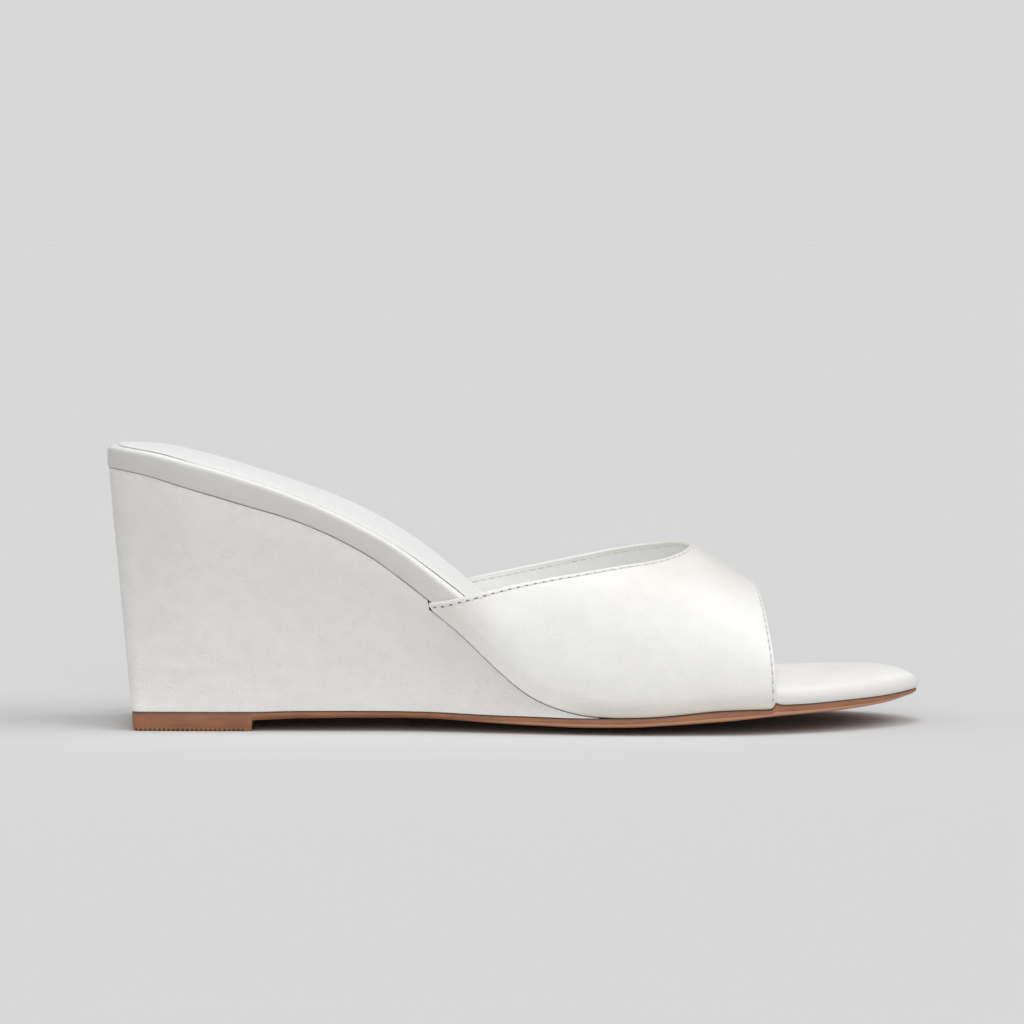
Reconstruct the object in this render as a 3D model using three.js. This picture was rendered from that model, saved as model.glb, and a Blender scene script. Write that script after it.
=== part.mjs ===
// Wedge mule, right foot, in millimetres.
// X runs from the heel's back to the toe, -Y is the outer side, +Y the inner side, +Z is up.
import * as THREE from "three";

// Whole shoe
const shoeLength = 235.5; // footbed, heel back to toe tip, seen from above
const heelWidth = 56.4; // footbed across the heel seat
const waistWidth = 54; // footbed across its narrowest place
const ballWidth = 76.4; // footbed across the ball
const heelRound = 28.2; // length of the rounded heel end at the footbed
const blockRound = 5.6; // the same at the floor, where the heel is squarer
const blockFlat = 0.8; // straight part of its back there, as a share of its width
const heelHeight = 74.6; // floor to the footbed's underside at the back
const seam = 0.3; // gap kept between neighbouring pieces

// Outsole
const ballLift = 2.25; // floor to the outsole's lower edge beside the ball
const shankLift = 3.75; // floor to its underside under the arch
const toeLift = 8.4; // floor to its underside at the toe tip
const soleThickness = 2.55; // at the ball
const toeSoleThickness = 1.6; // at the toe tip
const ballSag = 2.45; // how far the bottom bellies down between its edges at the ball
const soleBevel = 0.9; // slant of the lower part of its edge
const blockFront = 41.4; // front of the heel block, from the heel's back
const blockStep = 0.5; // slant of the block's front

// Footbed and sock
const bedThickness = 6.6; // at the arch
const bedEdgeRadius = 2.5; // rounding of the upper edge
const bedUnderRadius = 1; // rounding of the lower edge
const toeDeep = 0.7; // the footbed reaches this much lower in front of the upper
const sockThickness = 0.8;
const heelPad = 0.9; // extra thickness of the sock along the middle of the heel
const sockInset = 3.3; // from the footbed's edge
const sockFront = 176; // its front end, under the vamp

// Wedge
const wedgeInset = 0.3; // its top edge under the footbed's edge
const wedgeDraft = 0.033; // taper of its sides, per millimetre of height
const wedgeRake = 5.7; // how much further forward its back stands at the bottom, beside the taper
const wedgeRakeReach = 64; // length over which that fades
const featherEdge = 0.5; // thickness of its front edge

// Upper
const wall = 1.3;
const marginWidth = 9; // turned in under the footbed
const turnRadius = 2.2; // outside of the bend under the footbed
const throatBack = 93.8; // rear corner of the topline
const throatFront = 168.6; // front of the throat
const throatCornerDrop = 0.6; // rear corner of the topline under the footbed's underside
const instepHeight = 52; // top of the throat over the floor
const openingReach = 192.2; // toe opening, at its sides
const openingSweep = 3.6; // how much further back the opening lies at its top
const openingTuck = 1.6; // and at its lower corners
const openingHeight = 40; // top of the toe opening over the floor
const ridgeShift = 6; // the instep's ridge lies this far to the inner side
const archPower = 2.3; // fullness of the sections, 2 is an ellipse

// Toe shape
const toeRoundStart = 174.3;
const tipShift = 3; // toe tip, to the inner side of the middle

// Heights that follow from the layers under the footbed
const ballHeight = ballLift + soleThickness + seam + wall + seam;
const toeHeight = toeLift + toeSoleThickness + seam;

// Half widths of the footbed. along: share of shoeLength; outer, inner: shares of the width in of.
const planRows = [
  { along: 0.0, of: heelWidth, outer: 0.49, inner: 0.49 },
  { along: 0.12, of: heelWidth, outer: 0.5, inner: 0.5 },
  { along: 0.25, of: heelWidth, outer: 0.492, inner: 0.486 },
  { along: 0.36, of: waistWidth, outer: 0.511, inner: 0.489 },
  { along: 0.44, of: waistWidth, outer: 0.565, inner: 0.52 },
  { along: 0.52, of: ballWidth, outer: 0.448, inner: 0.405 },
  { along: 0.6, of: ballWidth, outer: 0.492, inner: 0.45 },
  { along: 0.68, of: ballWidth, outer: 0.505, inner: 0.486 },
  { along: 0.74, of: ballWidth, outer: 0.498, inner: 0.495 },
];

// Underside of the footbed along its edge. rise: share of the way from the ball up to the heel.
const riseRows = [
  { along: 0.0, rise: 1.0 },
  { along: 0.046, rise: 0.982 },
  { along: 0.1, rise: 0.932 },
  { along: 0.17, rise: 0.86 },
  { along: 0.24, rise: 0.785 },
  { along: 0.32, rise: 0.652 },
  { along: 0.395, rise: 0.46 },
  { along: 0.435, rise: 0.35 },
  { along: 0.483, rise: 0.194 },
  { along: 0.507, rise: 0.122 },
  { along: 0.531, rise: 0.068 },
  { along: 0.56, rise: 0.03 },
  { along: 0.59, rise: 0.008 },
  { along: 0.63, rise: 0.0 },
];

// The same line in front of the ball. spring: share of the way from the ball up to the toe tip.
const springRows = [
  { along: 0.62, spring: 0.0 },
  { along: 0.66, spring: 0.08 },
  { along: 0.7, spring: 0.3 },
  { along: 0.75, spring: 0.62 },
  { along: 0.79, spring: 0.69 },
  { along: 0.845, spring: 0.7 },
  { along: 0.9, spring: 0.85 },
  { along: 1.0, spring: 1.0 },
];

// Thickness of the padded footbed, as a share of bedThickness.
const bedRows = [
  { along: 0.0, thick: 0.93 },
  { along: 0.045, thick: 1.0 },
  { along: 0.085, thick: 1.06 },
  { along: 0.13, thick: 1.12 },
  { along: 0.19, thick: 1.08 },
  { along: 0.235, thick: 0.97 },
  { along: 0.3, thick: 0.94 },
  { along: 0.36, thick: 1.02 },
  { along: 0.4, thick: 1.05 },
  { along: 0.5, thick: 1.0 },
  { along: 0.7, thick: 0.96 },
  { along: 0.85, thick: 0.775 },
  { along: 1.0, thick: 0.775 },
];

// Crown of the sock, as a share of heelPad.
const padRows = [
  { along: 0.0, pad: 0.0 },
  { along: 0.04, pad: 0.1 },
  { along: 0.08, pad: 0.5 },
  { along: 0.14, pad: 1.0 },
  { along: 0.2, pad: 0.7 },
  { along: 0.28, pad: 0.3 },
  { along: 0.7, pad: 0.2 },
  { along: 0.75, pad: 0.0 },
];

// How much of ballSag the bottom has at each place.
const sagRows = [
  { along: 0.4, sag: 0.0 },
  { along: 0.52, sag: 0.85 },
  { along: 0.58, sag: 1.0 },
  { along: 0.68, sag: 1.0 },
  { along: 0.8, sag: 0.5 },
  { along: 0.92, sag: 0.1 },
  { along: 1.0, sag: 0.0 },
];

// Lower edge of the outsole over the floor, as a share of the lift in of.
const liftRows = [
  { along: 0.0, of: shankLift, lift: 0.85 },
  { along: 0.18, of: shankLift, lift: 0.85 },
  { along: 0.25, of: shankLift, lift: 0.98 },
  { along: 0.33, of: shankLift, lift: 1.02 },
  { along: 0.4, of: shankLift, lift: 0.99 },
  { along: 0.46, of: shankLift, lift: 0.82 },
  { along: 0.52, of: ballLift, lift: 1.16 },
  { along: 0.58, of: ballLift, lift: 1.0 },
  { along: 0.63, of: ballLift, lift: 1.02 },
  { along: 0.69, of: ballLift, lift: 1.33 },
  { along: 0.75, of: toeLift, lift: 0.465 },
  { along: 0.82, of: toeLift, lift: 0.63 },
  { along: 0.9, of: toeLift, lift: 0.735 },
  { along: 0.96, of: toeLift, lift: 0.86 },
  { along: 1.0, of: toeLift, lift: 1.0 },
];

// Thickness of the outsole under the wedge, as a share of soleThickness.
const shankRows = [
  { along: 0.0, thick: 0.86 },
  { along: 0.2, thick: 0.86 },
  { along: 0.26, thick: 0.76 },
  { along: 0.39, thick: 0.71 },
  { along: 0.47, thick: 0.82 },
  { along: 0.54, thick: 0.94 },
  { along: 0.6, thick: 0.98 },
];

// Edge of the outsole, in from the footbed's edge, as a share of soleBevel.
const soleEdgeRows = [
  { along: 0.0, inset: 0.4 },
  { along: 0.56, inset: 0.3 },
  { along: 0.63, inset: -0.6 },
  { along: 0.79, inset: -0.6 },
  { along: 0.83, inset: 0.3 },
  { along: 1.0, inset: 0.6 },
];

// Ridge of the instep. height: 0 at the toe opening, 1 at the front of the throat.
const ridgeRows = [
  { along: 0.38, height: 1.3, shift: 1.0 },
  { along: 0.46, height: 1.42, shift: 1.0 },
  { along: 0.53, height: 1.46, shift: 1.0 },
  { along: 0.59, height: 1.43, shift: 1.0 },
  { along: 0.64, height: 1.36, shift: 1.0 },
  { along: 0.68, height: 1.21, shift: 1.0 },
  { along: 0.716, height: 1.0, shift: 0.95 },
  { along: 0.755, height: 0.566, shift: 0.8 },
  { along: 0.8, height: 0.0, shift: 0.55 },
  { along: 0.83, height: -0.38, shift: 0.5 },
];

// Topline. along: 0 at its rear corner, 1 at the front of the throat; heights as shares between them.
const toplineRows = [
  { along: 0.0, outer: 0.0, inner: 0.0 },
  { along: 0.126, outer: 0.14, inner: 0.195 },
  { along: 0.266, outer: 0.312, inner: 0.35 },
  { along: 0.417, outer: 0.462, inner: 0.515 },
  { along: 0.571, outer: 0.589, inner: 0.68 },
  { along: 0.725, outer: 0.711, inner: 0.84 },
  { along: 0.88, outer: 0.815, inner: 0.96 },
  { along: 0.94, outer: 0.89, inner: 1.0 },
  { along: 0.977, outer: 0.945, inner: 1.01 },
  { along: 1.0, outer: 1.0, inner: 1.0 },
];

// Monotone cubic through a table's column, level at both ends.
function curve(rows, column, scale = () => 1) {
  const xs = rows.map((row) => row.along);
  const ys = rows.map((row) => row[column] * scale(row));
  const spans = xs.slice(1).map((x, i) => x - xs[i]);
  const slopes = spans.map((span, i) => (ys[i + 1] - ys[i]) / span);
  const tangents = xs.map((_, i) => {
    const before = slopes[i - 1];
    const after = slopes[i];
    if (before === undefined || after === undefined || before * after <= 0) return 0;
    const a = 2 * spans[i] + spans[i - 1];
    const b = spans[i] + 2 * spans[i - 1];
    return (a + b) / (a / before + b / after);
  });
  return (at) => {
    const x = Math.min(Math.max(at, xs[0]), xs[xs.length - 1]);
    let i = 0;
    while (i < spans.length - 1 && x > xs[i + 1]) i += 1;
    const t = (x - xs[i]) / spans[i];
    const h = spans[i];
    return (
      (1 + 2 * t) * (1 - t) ** 2 * ys[i] +
      t * (1 - t) ** 2 * h * tangents[i] +
      t * t * (3 - 2 * t) * ys[i + 1] +
      t * t * (t - 1) * h * tangents[i + 1]
    );
  };
}

const ofRow = (row) => row.of;
const planOuter = curve(planRows, "outer", ofRow);
const planInner = curve(planRows, "inner", ofRow);
const riseCurve = curve(riseRows, "rise");
const springCurve = curve(springRows, "spring");
const bedCurve = curve(bedRows, "thick");
const padCurve = curve(padRows, "pad");
const sagCurve = curve(sagRows, "sag");
const liftCurve = curve(liftRows, "lift", ofRow);
const shankCurve = curve(shankRows, "thick");
const soleEdgeCurve = curve(soleEdgeRows, "inset");
const ridgeHeightCurve = curve(ridgeRows, "height");
const ridgeShiftCurve = curve(ridgeRows, "shift");
const toplineOuter = curve(toplineRows, "outer");
const toplineInner = curve(toplineRows, "inner");

const clamp01 = (value) => Math.min(Math.max(value, 0), 1);
const mix = (a, b, t) => a + (b - a) * t;
const ease = (t) => clamp01(t) ** 2 * (3 - 2 * clamp01(t));

// Half width of the footbed at x. side: -1 outer, 1 inner. Both ends are rounded.
// round, flat: length of the rounded heel end, and the straight part of its back as a share.
function halfWidth(x, side, round = heelRound, flat = 0) {
  const along = Math.min(Math.max(x, 0), shoeLength);
  const full = (side < 0 ? planOuter : planInner)(along / shoeLength);
  if (along < round) return full * mix(flat, 1, Math.sqrt(1 - (1 - along / round) ** 2));
  if (along <= toeRoundStart) return full;
  const reach = (along - toeRoundStart) / (shoeLength - toeRoundStart);
  if (side < 0) return (full + tipShift) * (1 - reach ** 2) ** 0.66 - tipShift;
  return tipShift + (full - tipShift) * Math.sqrt(1 - reach ** 3);
}

// Point of the footbed's outline seen from above, moved in from the edge by inset.
function planPoint(x, side, inset, round, flat) {
  const step = 0.02;
  const before = Math.max(x - step, 0);
  const after = Math.min(x + step, shoeLength);
  const half = (at) => halfWidth(at, side, round, flat);
  const slope = (half(after) - half(before)) / (after - before);
  const scale = inset / Math.hypot(slope, 1);
  return { x: x + slope * scale, y: side * (half(x) - scale) };
}

// Underside of the footbed along its edge, and the direction across its thickness.
function bedLine(x) {
  const along = x / shoeLength;
  const rise = riseCurve(along) * (heelHeight - ballHeight);
  return ballHeight + rise + springCurve(along) * (toeHeight - ballHeight);
}

function bedNormal(x) {
  const step = 0.5;
  const slope = (bedLine(x + step) - bedLine(x - step)) / (2 * step);
  const length = Math.hypot(slope, 1);
  return { x: -slope / length, z: 1 / length };
}

const thicknessAt = (x) => bedThickness * bedCurve(x / shoeLength);

// How far the bottom bellies down at a place.
function sagAt(x, y) {
  const share = Math.min(Math.abs(y) / Math.max(halfWidth(x, Math.sign(y) || 1), 1), 1);
  return ballSag * sagCurve(x / shoeLength) * (1 - share ** 2);
}

// How far the footbed reaches below its line in front of the upper.
function toeDeepening(x) {
  const fade = 1 - 0.6 * ease((x - 222) / 13);
  return toeDeep * ease((x - openingReach - 0.6) / 4) * fade;
}

// Surface at a distance under the footbed.
const underBed = (x, y, distance) => bedLine(x) - sagAt(x, y) - toeDeepening(x) - distance / bedNormal(x).z;

// Distance from the footbed to the wedge or outsole: the upper's margin lies between them under the vamp.
const coverBack = throatBack - 3.4;
const coverFront = openingReach + 0.6;
const coverRamp = 1.6;
function stackAt(x) {
  const covered = ease((x - coverBack) / coverRamp) * (1 - ease((x - coverFront) / coverRamp));
  return seam + covered * (wall + seam);
}

// Lower face of the outsole, without the heel block, and its upper face.
const soleUnderEdge = (x) => liftCurve(x / shoeLength);
const soleUnder = (x, y) => Math.max(soleUnderEdge(x) - sagAt(x, y), 0);
const underWedge = (x, y) => soleUnderEdge(x) + shankCurve(x / shoeLength) * soleThickness - sagAt(x, y);
const wedgeGap = (x) => underBed(x, halfWidth(x, 1), stackAt(x)) - underWedge(x, halfWidth(x, 1)) - seam;

// Where f falls through zero between two places.
function fallsThroughZero(f, low, high) {
  let from = low;
  let to = high;
  for (let i = 0; i < 50; i += 1) {
    const middle = (from + to) / 2;
    if (f(middle) > 0) from = middle;
    else to = middle;
  }
  return (from + to) / 2;
}

const ballStart = 0.64 * shoeLength;
const wedgeFront = fallsThroughZero((x) => wedgeGap(x) - featherEdge, throatBack, ballStart);

function soleTop(x, y) {
  const fromBed = underBed(x, y, stackAt(x));
  return x < ballStart ? Math.min(underWedge(x, y), fromBed) : fromBed;
}

// Stations along the shoe. upTo: share of shoeLength; ends of the outline are spaced like an arc.
const stationRows = [
  { upTo: 0.12, steps: 9, spacing: "heel" },
  { upTo: 0.39, steps: 8, spacing: "even" },
  { upTo: 0.64, steps: 17, spacing: "even" },
  { upTo: 0.8, steps: 6, spacing: "even" },
  { upTo: 1.0, steps: 10, spacing: "toe" },
];
const spacings = {
  heel: (t) => 1 - Math.cos((t * Math.PI) / 2),
  even: (t) => t,
  toe: (t) => Math.sin((t * Math.PI) / 2),
};

const stations = [0];
for (const { upTo, steps, spacing } of stationRows) {
  const from = stations[stations.length - 1];
  for (let i = 1; i <= steps; i += 1) {
    stations.push(mix(from, upTo * shoeLength, spacings[spacing](i / steps)));
  }
}

// Stations up to an end, with extra ones where a piece has a step.
function stationsTo(end, extra = []) {
  const tooClose = 0.7;
  const inner = stations.filter((x) => x < end - tooClose && extra.every((e) => Math.abs(e - x) > tooClose));
  return [...inner, ...extra.filter((x) => x < end - tooClose), end].sort((a, b) => a - b);
}

// Places where the layers under the footbed change in front of the upper.
const layerSteps = [openingReach + 0.6, openingReach + 2.2, openingReach + 4.6];

// Closed mesh from corner points and faces, with its faces turned outwards.
function solidMesh(name, look, points, faces) {
  const keys = new Map();
  const positions = [];
  const index = points.map((p) => {
    const key = p.map((value) => Math.round(value * 1e4)).join();
    if (!keys.has(key)) {
      keys.set(key, keys.size);
      positions.push(...p);
    }
    return keys.get(key);
  });
  let triangles = [];
  for (const [a, b, c, d] of faces) triangles.push([a, b, c], [a, c, d]);
  triangles = triangles.map((corners) => corners.map((corner) => index[corner]));
  triangles = triangles.filter(([a, b, c]) => a !== b && b !== c && a !== c);
  const corner = (i) => new THREE.Vector3().fromArray(positions, 3 * i);
  const volume = triangles.reduce((sum, [a, b, c]) => sum + corner(a).dot(corner(b).cross(corner(c))), 0);
  if (volume < 0) triangles = triangles.map(([a, b, c]) => [a, c, b]);
  const geometry = new THREE.BufferGeometry();
  geometry.setAttribute("position", new THREE.Float32BufferAttribute(positions, 3));
  geometry.setIndex(triangles.flat());
  geometry.computeVertexNormals();
  const mesh = new THREE.Mesh(geometry, new THREE.MeshStandardMaterial(look));
  mesh.name = name;
  return mesh;
}

// Shares across a piece: the middle strip holds the flat spot under the ball.
const across = [-1, -0.62, -0.24, 0.24, 0.62, 1];

// Solid from levels stacked from its lower to its upper face. A level gives the point at (x, share).
function levelSolid(name, look, xs, levels) {
  const points = [];
  const faces = [];
  const add = (p) => points.push(p) - 1;
  const last = xs.length - 1;
  const end = across.length - 1;
  const sheet = (level) => xs.map((x) => across.map((share) => add(level(x, share))));
  const bottom = sheet(levels[0]);
  const top = sheet(levels[levels.length - 1]);
  for (const grid of [bottom, top]) {
    for (let i = 0; i < last; i += 1) {
      for (let j = 0; j < end; j += 1) {
        const face = [grid[i][j], grid[i + 1][j], grid[i + 1][j + 1], grid[i][j + 1]];
        faces.push(grid === top ? face : face.reverse());
      }
    }
  }
  const rim = [];
  for (let i = 0; i < last; i += 1) rim.push([i, 0]);
  for (let j = 0; j < end; j += 1) rim.push([last, j]);
  for (let i = last; i > 0; i -= 1) rim.push([i, end]);
  for (let j = end; j > 0; j -= 1) rim.push([0, j]);
  const rings = levels.map((level, k) => {
    if (k === 0) return rim.map(([i, j]) => bottom[i][j]);
    if (k === levels.length - 1) return rim.map(([i, j]) => top[i][j]);
    return rim.map(([i, j]) => add(level(xs[i], across[j])));
  });
  for (let k = 0; k < rings.length - 1; k += 1) {
    rim.forEach((_, i) => {
      const next = (i + 1) % rim.length;
      faces.push([rings[k][i], rings[k][next], rings[k + 1][next], rings[k + 1][i]]);
    });
  }
  return solidMesh(name, look, points, faces);
}

// Point between the two edges of an outline moved in by inset.
function acrossPlan(x, share, inset, round, flat) {
  const outer = planPoint(x, -1, inset, round, flat);
  const inner = planPoint(x, 1, inset, round, flat);
  const t = (share + 1) / 2;
  return { x: mix(outer.x, inner.x, t), y: mix(outer.y, inner.y, t) };
}

// Level over the footbed's underside. lift(x): distance from it; sagging: 1 on its lower face.
function bedLevel(inset, lift, sagging = 0, crown = () => 0) {
  const endFade = 20;
  return (x, share) => {
    const normal = bedNormal(x);
    const fade = ease(x / endFade) * ease((shoeLength - x) / endFade);
    const raised = lift(x) + crown(x, share);
    const plan = acrossPlan(x + normal.x * fade * raised, share, inset);
    const low = sagAt(x, plan.y) + toeDeepening(x);
    return [plan.x, plan.y, bedLine(x) + normal.z * raised - sagging * low];
  };
}

function footbed() {
  const under = (angle) => bedLevel(
    bedUnderRadius * (1 - Math.sin(angle)),
    () => bedUnderRadius * (1 - Math.cos(angle)),
    Math.cos(angle) ** 2,
  );
  const over = (angle) => bedLevel(
    bedEdgeRadius * (1 - Math.cos(angle)),
    (x) => thicknessAt(x) - bedEdgeRadius * (1 - Math.sin(angle)),
  );
  const levels = [
    under(0), under(Math.PI / 4), under(Math.PI / 2),
    over(0), over(Math.PI / 6), over(Math.PI / 3), over(Math.PI / 2),
  ];
  const look = { color: 0xe9e8e4, roughness: 0.42, metalness: 0 };
  return levelSolid("footbed", look, stationsTo(shoeLength, layerSteps), levels);
}

function sock() {
  const rounding = 0.4;
  const base = (x) => thicknessAt(x) + seam;
  const crown = (x, share) => heelPad * padCurve(x / shoeLength) * (1 - share ** 2);
  const levels = [
    bedLevel(sockInset + rounding, base),
    bedLevel(sockInset, (x) => base(x) + rounding),
    bedLevel(sockInset, (x) => base(x) + sockThickness - rounding),
    bedLevel(sockInset + rounding, (x) => base(x) + sockThickness, 0, crown),
  ];
  const look = { color: 0xf2f2f3, roughness: 0.75, metalness: 0 };
  return levelSolid("sock", look, stationsTo(sockFront), levels);
}

const wedgeHeight = (x) => Math.max(wedgeGap(x), 0);

// Outline of the wedge at its top or bottom, in from the footbed's edge. Its back slants and gets squarer.
function wedgePlan(x, share, inset, isBottom) {
  if (!isBottom) return acrossPlan(x, share, inset);
  const plan = acrossPlan(x, share, inset + wedgeDraft * wedgeHeight(x), blockRound, blockFlat);
  const rake = wedgeRake * (1 - ease(x / wedgeRakeReach));
  return { x: plan.x + rake, y: plan.y };
}

function wedge() {
  const level = (isBottom) => (x, share) => {
    const plan = wedgePlan(x, share, wedgeInset, isBottom);
    const z = isBottom ? underWedge(x, plan.y) + seam : underBed(x, plan.y, stackAt(x));
    return [plan.x, plan.y, z];
  };
  const xs = stationsTo(wedgeFront, [coverBack, coverBack + coverRamp]);
  const look = { color: 0xdedbd4, roughness: 0.45, metalness: 0 };
  return levelSolid("wedge", look, xs, [level(true), level(false)]);
}

function outsole() {
  const blockRise = (x) => clamp01((x - blockFront) / blockStep);
  const edge = (x) => soleEdgeCurve(x / shoeLength) * soleBevel;
  const level = (inset, up) => (x, share) => {
    const plan = wedgePlan(x, share, edge(x) + inset, true);
    const bottom = blockRise(x) * soleUnder(x, plan.y);
    return [plan.x, plan.y, mix(bottom, soleTop(x, plan.y), up)];
  };
  const xs = stationsTo(shoeLength, [blockFront, blockFront + blockStep, ...layerSteps]);
  const look = { color: 0x925f43, roughness: 0.55, metalness: 0 };
  return levelSolid("outsole", look, xs, [level(soleBevel, 0), level(0, 0.4), level(0, 1)]);
}

// Section of the upper at x: outside points from the margin's edge on one side to the other.
const marginSteps = [0, 0.5, 1];
const turnSteps = 3;
const sideSteps = 2;
const archSteps = 11;

function upperColumns() {
  const half = (side) => {
    const columns = marginSteps.map((t) => ({ side, part: "margin", t }));
    for (let i = 1; i <= turnSteps; i += 1) columns.push({ side, part: "turn", t: i / turnSteps });
    for (let i = 1; i <= sideSteps; i += 1) columns.push({ side, part: "side", t: i / sideSteps });
    for (let i = 1; i < archSteps; i += 1) columns.push({ side, part: "arch", t: i / archSteps });
    return columns;
  };
  return [...half(-1), { side: 1, part: "arch", t: 1 }, ...half(1).reverse()];
}

const ridgeHeight = (x) => mix(openingHeight, instepHeight, ridgeHeightCurve(x / shoeLength));

function upperPoint(x, { side, part, t }) {
  const edge = halfWidth(x, side);
  const outside = edge + seam + wall;
  const inner = edge - marginWidth;
  const turned = (y) => underBed(x, side * y, seam + wall);
  if (part === "margin") {
    const y = mix(inner, outside - turnRadius, t);
    return [x, side * y, turned(y)];
  }
  const turnTop = turned(edge) + turnRadius;
  if (part === "turn") {
    const angle = (t * Math.PI) / 2;
    const y = outside - turnRadius * (1 - Math.sin(angle));
    return [x, side * y, turned(Math.min(y, edge)) + turnRadius * (1 - Math.cos(angle))];
  }
  const sideTop = bedLine(x) + (thicknessAt(x) - bedEdgeRadius) / bedNormal(x).z;
  if (part === "side") return [x, side * outside, mix(turnTop, sideTop, t)];
  const angle = (t * Math.PI) / 2;
  const ridge = ridgeShift * ridgeShiftCurve(x / shoeLength);
  const reach = outside - side * ridge;
  const y = ridge + side * reach * Math.max(Math.cos(angle), 0) ** (2 / archPower);
  return [x, y, mix(sideTop, ridgeHeight(x), Math.sin(angle) ** (2 / archPower))];
}

function toplineHeight(x, side) {
  const along = (x - throatBack) / (throatFront - throatBack);
  const corner = bedLine(throatBack) - throatCornerDrop;
  return mix(corner, ridgeHeight(throatFront), (side < 0 ? toplineOuter : toplineInner)(along));
}

// Rear and front ends of a column.
function upperEnds(column) {
  const marginLead = 2.5;
  const start = { ...column };
  let lead = 0;
  if (column.part === "margin") {
    lead = marginLead * (1 - column.t);
    Object.assign(start, { part: "turn", t: 1 / turnSteps });
  }
  const above = (x) => upperPoint(x, start)[2] - toplineHeight(x, column.side);
  const rear = fallsThroughZero(above, throatBack - 2, throatFront) + lead;
  const heightShare = column.part === "arch" ? Math.sin((column.t * Math.PI) / 2) ** (2 / archPower) : 0;
  const tuckShare = { margin: 1, turn: 1 - column.t, side: 0, arch: 0 }[column.part];
  return { rear, front: openingReach - openingSweep * heightShare ** 2 - openingTuck * tuckShare ** 2 };
}

function upper() {
  const rows = 22;
  const columns = upperColumns();
  const ends = columns.map(upperEnds);
  const outside = [];
  for (let i = 0; i <= rows; i += 1) {
    outside.push(columns.map((column, j) => {
      const x = mix(ends[j].rear, ends[j].front, i / rows);
      return new THREE.Vector3(...upperPoint(x, column));
    }));
  }
  const width = columns.length;
  const direction = (before, here, after) => {
    const sum = new THREE.Vector3();
    if (before) sum.add(here.clone().sub(before).normalize());
    if (after) sum.add(after.clone().sub(here).normalize());
    return sum;
  };
  const inside = outside.map((row, i) => row.map((point, j) => {
    const alongShoe = direction(outside[i - 1]?.[j], point, outside[i + 1]?.[j]);
    const aroundFoot = direction(row[j - 1], point, row[j + 1]);
    const outward = alongShoe.cross(aroundFoot).normalize();
    return point.clone().addScaledVector(outward, -wall);
  }));
  const points = [...outside.flat(), ...inside.flat()].map((p) => p.toArray());
  const shell = points.length / 2;
  const at = (i, j) => i * width + j;
  const faces = [];
  for (let i = 0; i < rows; i += 1) {
    for (let j = 0; j < width - 1; j += 1) {
      const face = [at(i, j), at(i, j + 1), at(i + 1, j + 1), at(i + 1, j)];
      faces.push(face, face.map((corner) => corner + shell).reverse());
    }
    faces.push([at(i, 0), at(i + 1, 0), at(i + 1, 0) + shell, at(i, 0) + shell]);
    const j = width - 1;
    faces.push([at(i + 1, j), at(i, j), at(i, j) + shell, at(i + 1, j) + shell]);
  }
  for (let j = 0; j < width - 1; j += 1) {
    faces.push([at(0, j + 1), at(0, j), at(0, j) + shell, at(0, j + 1) + shell]);
    faces.push([at(rows, j), at(rows, j + 1), at(rows, j + 1) + shell, at(rows, j) + shell]);
  }
  const look = { color: 0xf2f1ee, roughness: 0.38, metalness: 0 };
  return solidMesh("upper", look, points, faces);
}

const mule = new THREE.Group();
mule.add(outsole(), wedge(), footbed(), sock(), upper());

// The origin is on the floor, under the middle of the shoe's box.
const box = new THREE.Box3().setFromObject(mule);
const middle = box.getCenter(new THREE.Vector3());
mule.position.set(-middle.x, -middle.y, -box.min.z);
mule.updateMatrixWorld(true);

export default mule;
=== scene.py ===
import math

import bmesh
import bpy
import numpy as np
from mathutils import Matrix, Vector


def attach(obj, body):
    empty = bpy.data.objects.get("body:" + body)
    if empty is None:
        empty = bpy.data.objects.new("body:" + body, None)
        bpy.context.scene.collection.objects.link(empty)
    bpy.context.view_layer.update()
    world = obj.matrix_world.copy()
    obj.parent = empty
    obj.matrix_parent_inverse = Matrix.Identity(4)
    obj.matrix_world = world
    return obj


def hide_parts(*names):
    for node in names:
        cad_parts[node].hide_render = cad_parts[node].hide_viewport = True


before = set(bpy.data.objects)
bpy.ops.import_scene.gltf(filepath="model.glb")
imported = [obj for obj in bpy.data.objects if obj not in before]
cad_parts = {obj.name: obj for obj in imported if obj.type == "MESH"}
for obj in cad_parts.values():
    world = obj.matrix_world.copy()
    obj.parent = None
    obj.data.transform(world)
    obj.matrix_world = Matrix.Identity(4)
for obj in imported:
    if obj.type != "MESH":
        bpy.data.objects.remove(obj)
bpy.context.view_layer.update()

print("frame loaded:", ", ".join(sorted(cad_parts)))

millimetre = 0.001
frameShift = np.array([-117.75, 0.379, 0.0])  # from the heel's back to the frame's origin


def mix(a, b, t):
    return a + (b - a) * t


def ease(t):
    t = np.clip(t, 0, 1)
    return t * t * (3 - 2 * t)


def easeOver(x, stretch):
    # From 0 to 1 over a stretch, given as its start and its length.
    start, length = stretch
    return ease((x - start) / length)


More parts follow.
